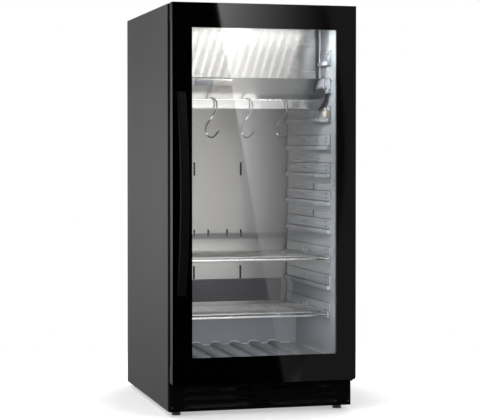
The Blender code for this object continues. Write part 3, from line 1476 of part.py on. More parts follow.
def make_plinth(cabinet):
    half = HALF_WIDTH - PLINTH_SIDE_GAP
    bottom = FOOT_HEIGHT
    bm = bmesh.new()
    add_box(bm, (-half, -PLINTH_STEP, bottom), (half, -FIT, PLINTH_TOP))
    plinth = piece("plinth_grille", bm, "black_plastic", cabinet)
    bm = bmesh.new()
    low = (PLINTH_WALL - half, PLINTH_WALL - PLINTH_STEP, bottom + PLINTH_WALL)
    add_box(bm, low, (half - PLINTH_WALL, OVERRUN, PLINTH_TOP - PLINTH_WALL))
    boolean(plinth, bm, "DIFFERENCE", cabinet)
    bm = bmesh.new()
    middle = (bottom + PLINTH_TOP) / 2
    outer = HALF_WIDTH - PLINTH_SLOT_OUTER
    for row in range(PLINTH_SLOT_ROWS):
        z = middle + (row - (PLINTH_SLOT_ROWS - 1) / 2) * PLINTH_SLOT_PITCH
        for side in (-1, 1):
            inner_x = side * PLINTH_SLOT_INNER
            outer_x = side * outer
            low = (min(inner_x, outer_x), -PLINTH_STEP - OVERRUN, z - PLINTH_SLOT_HEIGHT / 2)
            add_box(bm, low, (max(inner_x, outer_x), 0, z + PLINTH_SLOT_HEIGHT / 2))
    boolean(plinth, bm, "DIFFERENCE", cabinet)


def foot_places():
    x = HALF_WIDTH - FOOT_INSET
    back = CASE_DEPTH - FOOT_REAR_INSET
    return {
        "front_left": (-x, FOOT_INSET),
        "front_right": (x, FOOT_INSET),
        "rear_left": (-x, back),
        "rear_right": (x, back),
    }


def make_base(cabinet):
    half = HALF_WIDTH - SHEET - FIT
    inner = half - PAN_SHEET
    front = SHEET + FIT
    back = CASE_DEPTH - SHEET - FIT
    outline = (
        (-half, FOOT_HEIGHT),
        (half, FOOT_HEIGHT),
        (half, PAN_TOP + PAN_FLANGE),
        (inner, PAN_TOP + PAN_FLANGE),
        (inner, PAN_TOP),
        (-inner, PAN_TOP),
        (-inner, PAN_TOP + PAN_FLANGE),
        (-half, PAN_TOP + PAN_FLANGE),
    )
    bm = bmesh.new()
    add_prism(bm, outline, along_y, front, back)
    pan = piece("base_pan", bm, "zinc_sheet", cabinet)
    bosses = bmesh.new()
    holes = bmesh.new()
    for x, y in foot_places().values():
        start = (x, y, PAN_TOP - BOSS_SINK)
        add_rod(bosses, start, (x, y, PAN_TOP + FOOT_BOSS_HEIGHT), FOOT_BOSS_RADIUS, BOSS_SIDES)
        start = (x, y, FOOT_HEIGHT - OVERRUN)
        end = (x, y, PAN_TOP + FOOT_BOSS_HEIGHT + OVERRUN)
        add_rod(holes, start, end, FOOT_STEM_RADIUS + FOOT_STEM_CLEARANCE, FOOT_SIDES)
    boolean(pan, bosses, "UNION", cabinet)
    boolean(pan, holes, "DIFFERENCE", cabinet)

    for name, (x, y) in foot_places().items():
        pivot = Vector((x, y, 0))
        axis = axis_empty(f"foot_{name}_axis", pivot, cabinet)
        bm = bmesh.new()
        chamfer = FOOT_DISC_RADIUS - FOOT_DISC_HEIGHT / 4
        add_rod(bm, (x, y, 0), (x, y, FOOT_DISC_HEIGHT), FOOT_DISC_RADIUS, FOOT_SIDES, chamfer)
        foot = piece(f"foot_{name}", bm, "black_plastic", axis, pivot)
        bm = bmesh.new()
        start = (x, y, FOOT_DISC_HEIGHT - BOSS_SINK)
        add_rod(bm, start, (x, y, FOOT_HEIGHT - FIT), FOOT_COLLAR_RADIUS, BOSS_SIDES)
        add_rod(bm, start, (x, y, FOOT_STEM_HEIGHT), FOOT_STEM_RADIUS, FOOT_SIDES)
        boolean(foot, bm, "UNION", cabinet, own_overlaps=True)


def make_compressor(cabinet):
    """The hermetic compressor: an oval welded shell on a plate with four rubber feet."""
    floor = PAN_TOP + FIT
    x = COMPRESSOR_X
    y = COMPARTMENT_MIDDLE
    plate_bottom = floor + GROMMET_HEIGHT
    plate_top = plate_bottom + COMPRESSOR_PLATE
    shell_bottom = plate_top - BOSS_SINK
    bm = bmesh.new()
    rings = []
    for radius_share, height_share, flange_share in SHELL_SHARES:
        grow = WELD_FLANGE * flange_share
        ring = []
        for k in range(COMPRESSOR_SIDES):
            angle = math.tau * k / COMPRESSOR_SIDES
            px = x + (COMPRESSOR_RADIUS_X * radius_share + grow) * math.cos(angle)
            py = y + (COMPRESSOR_RADIUS_Y * radius_share + grow) * math.sin(angle)
            ring.append(bm.verts.new((px, py, shell_bottom + COMPRESSOR_HEIGHT * height_share)))
        rings.append(ring)
    for ring, following in zip(rings, rings[1:]):
        for k in range(COMPRESSOR_SIDES):
            j = (k + 1) % COMPRESSOR_SIDES
            bm.faces.new((ring[k], ring[j], following[j], following[k]))
    bm.faces.new(rings[0])
    bm.faces.new(rings[-1])
    compressor = piece("compressor", bm, "black_steel", cabinet)
    bm = bmesh.new()
    half_x = COMPRESSOR_RADIUS_X - COMPRESSOR_PLATE_MARGIN
    half_y = COMPRESSOR_RADIUS_Y + COMPRESSOR_PLATE_MARGIN
    add_box(bm, (x - half_x, y - half_y, plate_bottom), (x + half_x, y + half_y, plate_top))
    for sx in (-1, 1):
        for sy in (-1, 1):
            gx = x + sx * (half_x - GROMMET_INSET)
            gy = y + sy * (half_y - GROMMET_INSET)
            add_rod(bm, (gx, gy, floor), (gx, gy, plate_bottom + BOSS_SINK), GROMMET_RADIUS, GLAND_SIDES)
    tx, ty, tz = TERMINAL_SIZE
    middle = shell_bottom + COMPRESSOR_HEIGHT * TERMINAL_HEIGHT_SHARE
    wall = x - COMPRESSOR_RADIUS_X
    low = (wall - tx / 2, y - ty / 2, middle - tz / 2)
    add_box(bm, low, (wall + tx, y + ty / 2, middle + tz / 2))
    root = shell_bottom + COMPRESSOR_HEIGHT * STUB_ROOT_SHARE
    stub_top = shell_bottom + COMPRESSOR_HEIGHT + STUB_LENGTH
    for side in (-1, 1):
        sx = x + side * COMPRESSOR_RADIUS_X * STUB_PLACE_SHARE
        add_rod(bm, (sx, y, root), (sx, y, stub_top), STUB_RADIUS, STUB_SIDES)
    boolean(compressor, bm, "UNION", cabinet, own_overlaps=True)
    return stub_top


def make_machine(cabinet):
    stub_top = make_compressor(cabinet)
    floor = PAN_TOP + FIT
    y = COMPARTMENT_MIDDLE
    low = (CONDENSER_X - CONDENSER_WIDTH / 2, y - CONDENSER_DEPTH / 2, floor)
    size = (CONDENSER_WIDTH, CONDENSER_DEPTH, CONDENSER_HEIGHT)
    make_coil("condenser_coil", low, size, CONDENSER_FINS, 1, cabinet)
    plate_half = (CONDENSER_HEIGHT / 2, CONDENSER_DEPTH / 2)
    centre = (CONDENSER_FAN_X, y, floor + CONDENSER_HEIGHT / 2)
    make_fan_set("condenser_fan", centre, (-1, 0, 0), CONDENSER_FAN_RADIUS, plate_half, cabinet)

    stub = COMPRESSOR_RADIUS_X * STUB_PLACE_SHARE
    ceiling = COMPARTMENT_TOP - SHEET
    start = Vector((COMPRESSOR_X + stub, y, stub_top + PIPE_GAP))
    end = Vector((COMPRESSOR_X + stub, y, ceiling - PIPE_GAP))
    bm = bmesh.new()
    add_rod(bm, start, end, PIPE_RADIUS, STUB_SIDES)
    piece("suction_pipe", bm, "copper", cabinet)

    drier_top = floor + DRIER_LENGTH + FIT
    start = Vector((COMPRESSOR_X - stub, y, stub_top + PIPE_GAP))
    first = start + Vector((0, 0, PIPE_ROUTE_RISE))
    second = Vector((DRIER_X, y, first.z))
    end = Vector((DRIER_X, y, drier_top + PIPE_GAP))
    points = [start, *rounded_corner(start, first, second, PIPE_BEND, BEND_STEPS)]
    points += [*rounded_corner(first, second, end, PIPE_BEND, BEND_STEPS), end]
    bm = bmesh.new()
    add_tube(bm, points, PIPE_RADIUS, SHELF_ROD_SIDES)
    piece("discharge_pipe", bm, "copper", cabinet)

    bm = bmesh.new()
    add_rod(bm, (DRIER_X, y, floor), (DRIER_X, y, drier_top - FIT), DRIER_RADIUS, GLAND_SIDES)
    piece("filter_drier", bm, "copper", cabinet)

    width, depth, height = CONTROL_SIZE
    top = ceiling - FIT
    back = CASE_DEPTH - SHEET - FIT
    bm = bmesh.new()
    low = (CONTROL_X - width / 2, back - depth, top - height)
    add_box(bm, low, (CONTROL_X + width / 2, back, top))
    bmesh.ops.bevel(
        bm,
        geom=[edge for edge in bm.edges],
        offset=TRAY_WALL,
        offset_type="OFFSET",
        affect="EDGES",
        segments=1,
        profile=0.5,
        material=-1,
    )
    piece("control_box", bm, "white_plastic", cabinet)

    width, depth, height = EVAPORATION_TRAY_SIZE
    x = (DRIER_X + CONDENSER_FAN_X) / 2
    low = Vector((x - width / 2, COMPARTMENT_FRONT + SHEET + FIT, floor))
    high = Vector((x + width / 2, low.y + depth, floor + height))
    bm = bmesh.new()
    add_box(bm, low, high)
    tray = piece("evaporation_tray", bm, "black_plastic", cabinet)
    wall = Vector((TRAY_WALL, TRAY_WALL, TRAY_WALL))
    inner_high = high - wall
    inner_high.z = high.z + OVERRUN
    bm = bmesh.new()
    add_box(bm, low + wall, inner_high)
    boolean(tray, bm, "DIFFERENCE", cabinet)


def make_machine_cover(cabinet):
    half = HALF_WIDTH - FLANGE - FIT
    back = CASE_DEPTH
    bm = bmesh.new()
    add_box(bm, (-half, back - SHEET, FOOT_HEIGHT), (half, back, COMPARTMENT_TOP - FIT))
    cover = piece("machine_cover", bm, "zinc_sheet", cabinet)
    bm = bmesh.new()
    middle = (FOOT_HEIGHT + COMPARTMENT_TOP) / 2
    for side in (-1, 1):
        x = side * COVER_SLOT_COLUMN
        for row in range(COVER_SLOT_ROWS):
            z = middle + (row - (COVER_SLOT_ROWS - 1) / 2) * COVER_SLOT_PITCH
            low = (x - COVER_SLOT_WIDTH / 2, back - OVERRUN, z - COVER_SLOT_HEIGHT / 2)
            high = (x + COVER_SLOT_WIDTH / 2, back + OVERRUN, z + COVER_SLOT_HEIGHT / 2)
            add_box(bm, low, high)
    hole = GLAND_RADIUS + FIT
    start = (0, back - OVERRUN, FOOT_HEIGHT + PAN_FLANGE)
    add_rod(bm, start, (0, back + OVERRUN, FOOT_HEIGHT + PAN_FLANGE), hole, GLAND_SIDES)
    boolean(cover, bm, "DIFFERENCE", cabinet)

    z = FOOT_HEIGHT + PAN_FLANGE
    bm = bmesh.new()
    add_rod(bm, (0, back - SHEET - GLAND_LENGTH, z), (0, back, z), GLAND_RADIUS, GLAND_SIDES)
    gland = piece("cable_gland", bm, "black_plastic", cabinet)
    bm = bmesh.new()
    nut = GLAND_RADIUS + GLAND_NUT / 2
    end = (0, back - SHEET - FIT, z)
    add_rod(bm, (0, back - SHEET - FIT - GLAND_NUT, z), end, nut, BOSS_SIDES)
    boolean(gland, bm, "UNION", cabinet)
    bm = bmesh.new()
    add_rod(bm, (0, back - OVERRUN / 2, z), (0, back + OVERRUN, z), GLAND_RADIUS / 2, GLAND_SIDES)
    boolean(gland, bm, "DIFFERENCE", cabinet)


def build():
    clear_scene()
    cabinet = axis_empty("cabinet", (0, CASE_FRONT, 0))
    make_casing(cabinet)
    make_underbody(cabinet)
    make_foam(cabinet)
    make_liner(cabinet)
    make_back_panel(cabinet)
    make_housing(cabinet)
    make_air_guide(cabinet)
    make_light(cabinet)
    make_evaporator(cabinet)
    make_rail(cabinet)
    make_hooks(cabinet)
    for name, level in SHELF_LEVELS.items():
        make_shelf(name, level, cabinet)
    make_tray(cabinet)
    make_sensor(cabinet)
    make_door(cabinet)
    make_hinges(cabinet)
    make_plinth(cabinet)
    make_base(cabinet)
    make_machine(cabinet)
    make_machine_cover(cabinet)


build()
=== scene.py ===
import json
import math

import bmesh
import bpy
from mathutils import Matrix, Vector


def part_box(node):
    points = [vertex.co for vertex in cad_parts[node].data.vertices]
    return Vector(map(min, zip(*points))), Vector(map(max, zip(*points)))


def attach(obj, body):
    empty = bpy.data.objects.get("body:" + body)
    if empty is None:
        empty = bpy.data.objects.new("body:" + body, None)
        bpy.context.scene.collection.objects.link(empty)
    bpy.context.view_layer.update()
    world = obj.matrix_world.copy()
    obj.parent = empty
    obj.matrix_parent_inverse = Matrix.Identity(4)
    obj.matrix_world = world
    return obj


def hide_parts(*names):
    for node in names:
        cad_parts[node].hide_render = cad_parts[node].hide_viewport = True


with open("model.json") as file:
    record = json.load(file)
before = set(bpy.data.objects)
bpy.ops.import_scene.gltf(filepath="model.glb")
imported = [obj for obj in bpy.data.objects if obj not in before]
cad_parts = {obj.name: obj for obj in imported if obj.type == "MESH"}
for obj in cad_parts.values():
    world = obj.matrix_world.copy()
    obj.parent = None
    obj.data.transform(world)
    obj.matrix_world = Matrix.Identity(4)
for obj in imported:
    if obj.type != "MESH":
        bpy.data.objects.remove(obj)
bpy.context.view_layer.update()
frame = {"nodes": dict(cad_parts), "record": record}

bl_info = {
    "name": "Dry aging cabinet",
    "version": (1, 0, 0),
    "blender": (4, 5, 0),
    "location": "View3D > Sidebar > Cabinet",
    "description": "Finishes, trim and studio for a dry aging cabinet built round its packed model",
    "category": "Object",
}

BODY = "cabinet"

# The casing, the liner's walls and the back panel's face
CASE_FRONT = -0.270
WALL = 0.255
BACK_FACE = 0.286

# Depths painted nearly black as painted shade of the door gap: the side panels' front, and the rear of the door's
# sides
PANEL_GAP_SHADE = (-1.0, CASE_FRONT + 0.011)
DOOR_GAP_SHADE = (-0.3045, 0.0)

# The ledges on the walls: the lowest one's top, and depths behind the casing's front
LEDGES = 10
LEDGE_ZERO = 0.299
LEDGE_PITCH = 0.091
LEDGE_FRONT = 0.066
LEDGE_END = 0.540
LIP_HEIGHT = 0.013
LIP_REACH = 0.012
STRIP_HEIGHT = 0.034
STRIP_REACH = 0.0035
# Slots in each ledge's strip, where dark blocks paint the shade inside: depth, and heights over the ledge
LEDGE_SLOTS = ((0.1055, (0.010, 0.025)), (0.337, (0.018,)))
# Upright slots in the wall, where dark blocks paint the shade inside: depth from and to, then the middle's height
# and the length of each
WALL_SLOT_DEPTHS = (0.2435, 0.2505)
WALL_SLOTS = ((0.700, 0.034), (0.622, 0.016))

# The waves along the drip tray's back edge
RIDGES = 6
RIDGE_PITCH = 0.0685
RIDGE_WIDTH = 0.038
RIDGE_HEIGHT = 0.010
RIDGE_STEPS = 12
TRAY_BACK = 0.4515
TRAY_HALF = 0.2325
BEAD_RADIUS = 0.0011

# Screws: how deep the rear heads sit in their sheets, and how far from the sheets' edges
SCREW_SINK = 0.0014
SCREW_INSET = 0.008
SIDE_SCREWS = 6
TOP_SCREWS = (-0.14, 0.0, 0.14)
PLINTH_SCREW_HEIGHT = 0.028
PLINTH_SCREW_RADIUS = 0.003

# Trim beside the housing, from the middle outwards, and the cheeks' depths and heights
FLANGE_SPAN = (0.2365, 0.2488)
SEAL_SPAN = (0.2492, 0.2547)
CHEEK_TOP = (0.112, 0.190)
CHEEK_FOOT = (0.123, 0.217)
CHEEK_HEIGHTS = (1.0306, 1.0632)

# The back panel's rows of slots, where dark blocks paint the shade inside: face, middle height, length, places
# across and width
SLOT_SHADES = (
    (0.280, 0.765, 0.046, (-0.084, 0.084), 0.0062),
    (0.286, 0.403, 0.046, (-0.084, 0.084), 0.0068),
    (0.280, 0.5468, 0.013, (-0.084, -0.034, 0.034, 0.084), 0.0058),
)
# The grille on the back panel's foot, dark as a painted shade below the panel's edge
GRILLE_HEIGHTS = (0.300, 0.379)
GRILLE_HALF = 0.235
LOUVRES = 9
LOUVRE_PITCH = 0.008

# The filter module on the slope: the slope's direction, the plates' depths and half width
SLOPE_DOWN = (0.0, 0.626, -0.780)
MODULE_HALF = 0.0125
MODULE_BACK = -0.003
PLATE_FACE = 0.0016
RIBS = 12
RIB_PITCH = 0.0049

# The camera
CAMERA_PLACE = (-1.32286, -4.94576, 0.82334)
CAMERA_TURN = (math.pi / 2 - 0.018, 0.0, -0.256)
CAMERA_LENS = 115.5
CAMERA_SHIFT = (0.0208, -0.0625)
CAMERA_REACH = 60.0

# The room: light from all round, and the floor's glow, shadow and fade to white by distance; the glow is weaker near
# the cabinet, a painted contact shadow
AMBIENT = 0.45
FLOOR_HALF = 12.0
FLOOR_DROP = 0.0005
FLOOR_LIFT = 0.55
FLOOR_LIFT_NEAR = 0.4 * FLOOR_LIFT
FLOOR_LIFT_REACH = (0.4, 0.62)
FLOOR_FADE = (0.75, 1.5)
FLOOR_BOUNCE = (1.4, 2.4)

# The boards that only mirrored rays see
BOARD_HALF = 5.0
FRONT_BOARD = -6.27
BACK_BOARD = 5.0
BOARD_DARK = 0.002
PATCH_EDGE = 1.692
PATCH_LEAN = -0.1828
PATCH_WIDTH = 0.95
PATCH_FALL = 2.2
PATCH_HEIGHT = 1.9
PATCH_LEVEL = 3.75
ROOM_SPAN = (1.70, 1.98)
ROOM_LEVELS = (1.75, 0.22)
ROOM_FROM = 1.15
PANE_CROSSINGS = 6.5
OPENING_REACH = 6.28
SIDE_GLOSS = 0.85
SIDE_GLOSS_HEIGHT = 0.45
SIDE_GLOSS_SPREAD = 0.85
SIDE_GLOSS_LEAST = 0.03

# The lights that the housing's front mirrors, and the lit front zone of the walls
STREAKS = 15
STREAK_RIGHT = 0.198
STREAK_GAP = 0.122
STREAK_WIDTH = 0.0035
STREAK_HEIGHT = 0.185
STREAK_LEAN = 17.0
STREAK_POWER = 0.0042
STREAK_RISE = 0.06
WALL_LIGHT = 14.0
WALL_LIGHT_SLOPE = 0.242
WALL_LIGHT_DEPTH = 0.083
LIGHT_DROP = 0.004


def low(node):
    """The corner of a part's box with the smallest x, y and z."""
    return Vector(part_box(node)[0])


def high(node):
    """The corner of a part's box with the largest x, y and z."""
    return Vector(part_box(node)[1])


class CabinetSizes(bpy.types.PropertyGroup):
    """Sizes that the looks depend on"""

    window_half: bpy.props.FloatProperty(
        name="Window half width",
        description="From the middle of the door to the printed border",
        default=0.235,
        unit="LENGTH",
    )
    window_bottom: bpy.props.FloatProperty(
        name="Window bottom",
        description="Height of the border's lower inner edge",
        default=0.1872,
        unit="LENGTH",
    )
    window_top: bpy.props.FloatProperty(
        name="Window top",
        description="Height of the border's upper inner edge",
        default=1.2097,
        unit="LENGTH",
    )
    screw_radius: bpy.props.FloatProperty(
        name="Screw head radius",
        description="Radius of the pan heads on the sheets",
        default=0.0038,
        unit="LENGTH",
    )
    led_pitch: bpy.props.FloatProperty(
        name="Light pitch",
        description="Distance between the chips of the light strip",
        default=0.0297,
        unit="LENGTH",
    )


def colour(name, description, default):
    return bpy.props.FloatVectorProperty(
        name=name, description=description, default=default, size=3, min=0.0, max=1.0, subtype="COLOR"
    )


class CabinetColours(bpy.types.PropertyGroup):
    """Base colours of the main materials"""

    case: colour("Casing", "Satin paint of the casing and the door's sides", (0.090, 0.091, 0.093))
    edge: colour("Door rails", "Dark paint of the door's top and bottom rails", (0.035, 0.035, 0.037))
    border: colour("Glass border", "Print behind the door's outer glass", (0.0002, 0.0002, 0.00024))
    liner: colour("Liner", "Moulded liner and drip tray", (0.20, 0.213, 0.232))
    steel: colour("Stainless sheet", "Housing, duct and back panel", (0.68, 0.668, 0.65))
    chrome: colour("Polished wire", "Shelves, rail and hooks", (0.88, 0.875, 0.86))
    glow: colour("Cabinet light", "Light of the strip over the door opening", (0.96, 0.985, 1.0))


def sizes():
    return bpy.context.scene.cabinet_sizes


def colours():
    return bpy.context.scene.cabinet_colours


class Finish:
    """One material under construction, with short ways to add and join its nodes."""

    def __init__(self, name):
        self.material = bpy.data.materials.new(name)
        self.material.use_nodes = True
        self.tree = self.material.node_tree
        self.shader = self.tree.nodes["Principled BSDF"]
        self.output = self.tree.nodes["Material Output"]
        self.place = self.add("ShaderNodeTexCoord").outputs["Object"]

    def add(self, kind, **values):
        node = self.tree.nodes.new(kind)
        for key, value in values.items():
            setattr(node, key, value)
        return node

    def join(self, source, target):
        self.tree.links.new(source, target)

    def feed(self, socket, value):
        if isinstance(value, bpy.types.NodeSocket):
            self.join(value, socket)
        else:
            socket.default_value = value

    def set(self, **values):
        for key, value in values.items():
            socket = self.shader.inputs[key.replace("_", " ")]
            if isinstance(value, tuple) and len(value) == 3 and socket.type == "RGBA":
                value = (*value, 1.0)
            self.feed(socket, value)

    def scaled(self, scale):
        node = self.add("ShaderNodeMapping")
        node.inputs["Scale"].default_value = scale
        self.join(self.place, node.inputs["Vector"])
        return node.outputs["Vector"]

    def noise(self, scale, detail=3.0, roughness=0.5, stretch=None):
        node = self.add("ShaderNodeTexNoise")
        node.inputs["Scale"].default_value = scale
        node.inputs["Detail"].default_value = detail
        node.inputs["Roughness"].default_value = roughness
        self.join(self.scaled(stretch) if stretch else self.place, node.inputs["Vector"])
        return node.outputs["Fac"]

    def cells(self, scale, output="Distance"):
        node = self.add("ShaderNodeTexVoronoi")
        node.inputs["Scale"].default_value = scale
        self.join(self.place, node.inputs["Vector"])
        return node.outputs[output]

    def span(self, value, *numbers):
        """A value taken from one range to another: from low, from high, to low, to high."""
        node = self.add("ShaderNodeMapRange")
        self.join(value, node.inputs["Value"])
        for key, number in zip(("From Min", "From Max", "To Min", "To Max"), numbers):
            node.inputs[key].default_value = number
        return node.outputs["Result"]

    def sum(self, operation, *values):
        """One step of arithmetic on node outputs and plain numbers."""
        node = self.add("ShaderNodeMath", operation=operation)
        for socket, value in zip(node.inputs, values):
            self.feed(socket, value)
        return node.outputs["Value"]

    def times(self, first, *others):
        for value in others:
            first = self.sum("MULTIPLY", first, value)
        return first

    def blend(self, share, first, second):
        node = self.add("ShaderNodeMix", data_type="RGBA")
        self.feed(node.inputs[0], share)
        for socket, value in ((node.inputs[6], first), (node.inputs[7], second)):
            self.feed(socket, (*value, 1.0) if isinstance(value, tuple) else value)
        return node.outputs[2]

    def axes(self):
        node = self.add("ShaderNodeSeparateXYZ")
        self.join(self.place, node.inputs[0])
        return node.outputs

    def bump(self, height, strength, distance):
        node = self.add("ShaderNodeBump")
        node.inputs["Strength"].default_value = strength
        node.inputs["Distance"].default_value = distance
        self.join(height, node.inputs["Height"])
        return node.outputs["Normal"]

    def layer(self, share, first, second):
        """One surface passing into another."""
        mix = self.add("ShaderNodeMixShader")
        for socket, value in zip(mix.inputs, (share, first, second)):
            self.join(value, socket)
        return mix.outputs[0]

    def shade(self, base, spread, pattern):
        """The base colour made darker and lighter by a pattern."""
        dark = tuple(c * (1 - spread) for c in base)
        light = tuple(min(1.0, c * (1 + spread)) for c in base)
        return self.blend(pattern, dark, light)


def lay_grain(finish, direction):
    """Sets the direction along which brushed steel spreads its highlights."""
    node = finish.add("ShaderNodeCombineXYZ")
    for socket, value in zip(node.inputs, direction):
        socket.default_value = value
    finish.join(node.outputs["Vector"], finish.shader.inputs["Tangent"])


def satin_paint(name, base, trim=None):
    """Satin coil-coated steel with a fine upright grain; where y lies within trim, the paint is nearly black and
    less glossy, as painted shade of the door gap.
    """
    f = Finish(name)
    lines = f.noise(1.0, 4.0, 0.6, stretch=(900.0, 900.0, 4.0))
    clouds = f.noise(2.2, 2.0, 0.5)
    tone = f.sum("ADD", f.span(lines, 0.3, 0.7, 0.0, 0.7), f.span(clouds, 0.35, 0.65, 0.0, 0.3))
    paint = f.shade(base, 0.16, tone)
    gloss = 0.3
    # Painted shade: the band inside the door gap is nearly black and less glossy
    if trim:
        _, y, _ = f.axes()
        inside = f.times(f.sum("GREATER_THAN", y, trim[0]), f.sum("LESS_THAN", y, trim[1]))
        paint = f.blend(inside, paint, (0.002, 0.002, 0.0022))
        gloss = 0.12
    f.set(Base_Color=paint, Roughness=f.span(lines, 0.3, 0.7, 0.46, 0.56), Metallic=0.1)
    f.set(Specular_IOR_Level=gloss)
    f.set(Normal=f.bump(lines, 0.12, 0.0004))
    return f.material


def dark_rail_paint(name, base):
    """Smooth dark paint on the door's top and bottom rails."""
    f = Finish(name)
    grain = f.noise(700.0, 3.0)
    f.set(Base_Color=f.shade(base, 0.1, f.noise(3.0, 2.0)), Metallic=0.1)
    f.set(Roughness=f.span(grain, 0.3, 0.7, 0.38, 0.46), Normal=f.bump(grain, 0.1, 0.0002))
    return f.material


def powder_coat(name, base, roughness=0.42):
    """Fine-textured enamel, as on handles and brackets."""
    f = Finish(name)
    grain = f.noise(1400.0, 2.0)
    f.set(Base_Color=f.shade(base, 0.2, f.noise(6.0, 3.0)), Specular_IOR_Level=0.02)
    f.set(Roughness=f.span(grain, 0.3, 0.7, roughness - 0.05, roughness + 0.06))
    f.set(Normal=f.bump(grain, 0.25, 0.0002))
    return f.material


def brushed_steel(name, base, grain, highlight, roughness=0.28, anisotropy=0.8, depth=0.05):
    """Stainless sheet brushed one way, whose highlights spread across the grain."""
    f = Finish(name)
    lines = f.noise(1.0, 5.0, 0.65, stretch=grain)
    stain = f.noise(5.0, 3.0, 0.6)
    f.set(Base_Color=f.shade(base, 0.06, lines), Metallic=1.0, Anisotropic=anisotropy)
    fine = f.span(lines, 0.25, 0.75, roughness - 0.04, roughness + 0.04)
    f.set(Roughness=f.sum("ADD", fine, f.span(stain, 0.4, 0.7, 0.0, 0.04)))
    f.set(Normal=f.bump(lines, depth, 0.0002))
    lay_grain(f, highlight)
    return f.material


def polished_wire(name, base, roughness):
    """Polished round steel, very slightly uneven."""
    f = Finish(name)
    ripple = f.noise(160.0, 3.0)
    f.set(Base_Color=f.shade(base, 0.05, ripple), Metallic=1.0)
    f.set(Roughness=f.span(ripple, 0.3, 0.7, roughness - 0.04, roughness + 0.06))
    f.set(Normal=f.bump(ripple, 0.012, 0.0003))
    return f.material


def zinc_sheet(name):
    """Galvanised sheet with its spangle."""
    f = Finish(name)
    flakes = f.cells(70.0, output="Color")
    fine = f.noise(220.0, 3.0)
    grey = f.add("ShaderNodeRGBToBW")
    f.join(flakes, grey.inputs[0])
    f.set(Base_Color=f.shade((0.44, 0.45, 0.46), 0.22, grey.outputs[0]), Metallic=0.9)
    f.set(Roughness=f.span(grey.outputs[0], 0.0, 1.0, 0.34, 0.52))
    f.set(Normal=f.bump(fine, 0.06, 0.0004))
    return f.material


def moulded_plastic(name, base, grain_scale, roughness, depth, spread=0.06):
    """Moulded plastic with a fine grain of the given scale and depth."""
    f = Finish(name)
    grain = f.noise(grain_scale, 2.0)
    f.set(Base_Color=f.shade(base, spread, f.noise(4.0, 3.0)))
    f.set(Roughness=f.span(grain, 0.3, 0.7, roughness - 0.05, roughness + 0.07))
    f.set(Normal=f.bump(grain, depth, 0.0003))
    return f.material


def rigid_foam(name):
    """Yellowish insulation foam with open cells."""
    f = Finish(name)
    cells = f.cells(260.0)
    f.set(Base_Color=f.shade((0.78, 0.70, 0.48), 0.12, cells), Roughness=0.92)
    f.set(Normal=f.bump(cells, 0.6, 0.001))
    return f.material


def soft_rubber(name):
    """Matt black rubber of the seals and feet."""
    f = Finish(name)
    dust = f.noise(60.0, 4.0, 0.6)
    f.set(Base_Color=f.shade((0.006, 0.006, 0.0065), 0.3, dust), Specular_IOR_Level=0.03)
    f.set(Roughness=f.span(dust, 0.3, 0.7, 0.62, 0.8), Normal=f.bump(f.noise(800.0, 2.0), 0.2, 0.0002))
    return f.material


def drawn_copper(name):
    """Copper pipe with darker tarnish in patches."""
    f = Finish(name)
    tarnish = f.noise(45.0, 4.0, 0.6)
    tone = f.blend(f.span(tarnish, 0.35, 0.7, 0.0, 1.0), (0.72, 0.36, 0.22), (0.45, 0.20, 0.11))
    f.set(Base_Color=tone, Metallic=1.0, Roughness=f.span(tarnish, 0.3, 0.7, 0.22, 0.4))
    return f.material


def fin_stack(name):
    """Thin aluminium fins with their dull, slightly uneven face."""
    f = Finish(name)
    lines = f.noise(1.0, 3.0, 0.6, stretch=(500.0, 500.0, 20.0))
    f.set(Base_Color=f.shade((0.68, 0.69, 0.70), 0.12, lines), Metallic=1.0)
    f.set(Roughness=f.span(lines, 0.3, 0.7, 0.32, 0.45), Normal=f.bump(lines, 0.2, 0.0003))
    return f.material


def carbon_felt(name):
    """The filter's dark felt."""
    f = Finish(name)
    fibres = f.noise(420.0, 6.0, 0.7)
    f.set(Base_Color=f.shade((0.10, 0.11, 0.125), 0.35, fibres), Roughness=0.8)
    f.set(Normal=f.bump(fibres, 0.5, 0.0006))
    return f.material


def clear_surface(f, roughness=0.0):
    """Plain window glass: what is behind shows through, and the surface mirrors more at a grazing look."""
    facing = f.add("ShaderNodeLayerWeight")
    facing.inputs["Blend"].default_value = 0.5
    edge = f.sum("POWER", facing.outputs["Facing"], 5.0)
    share = f.sum("MULTIPLY_ADD", edge, 0.94, 0.043)
    through = f.add("ShaderNodeBsdfTransparent")
    through.inputs["Color"].default_value = (0.975, 0.975, 0.975, 1.0)
    mirror = f.add("ShaderNodeBsdfGlossy")
    f.feed(mirror.inputs["Roughness"], roughness)
    return f.layer(share, through.outputs[0], mirror.outputs[0])


def window_glass(name):
    """A clear pane with a faint smear."""
    f = Finish(name)
    smear = f.noise(9.0, 3.0)
    surface = clear_surface(f, f.span(smear, 0.4, 0.8, 0.0, 0.02))
    f.join(surface, f.output.inputs["Surface"])
    f.tree.nodes.remove(f.shader)
    return f.material


def printed_glass(name):
    """The outer pane: clear in the window and printed black round it."""
    f = Finish(name)
    s = sizes()
    x, _, z = f.axes()
    between_sides = f.sum("LESS_THAN", f.sum("ABSOLUTE", x), s.window_half)
    over_foot = f.sum("GREATER_THAN", z, s.window_bottom)
    under_top = f.sum("LESS_THAN", z, s.window_top)
    inside = f.times(between_sides, over_foot, under_top)
    haze = f.noise(7.0, 3.0)
    f.set(Base_Color=f.shade(tuple(colours().border), 0.2, haze), IOR=1.5)
    f.set(Roughness=f.span(haze, 0.3, 0.7, 0.02, 0.035))
    f.join(f.layer(inside, f.shader.outputs[0], clear_surface(f)), f.output.inputs["Surface"])
    return f.material


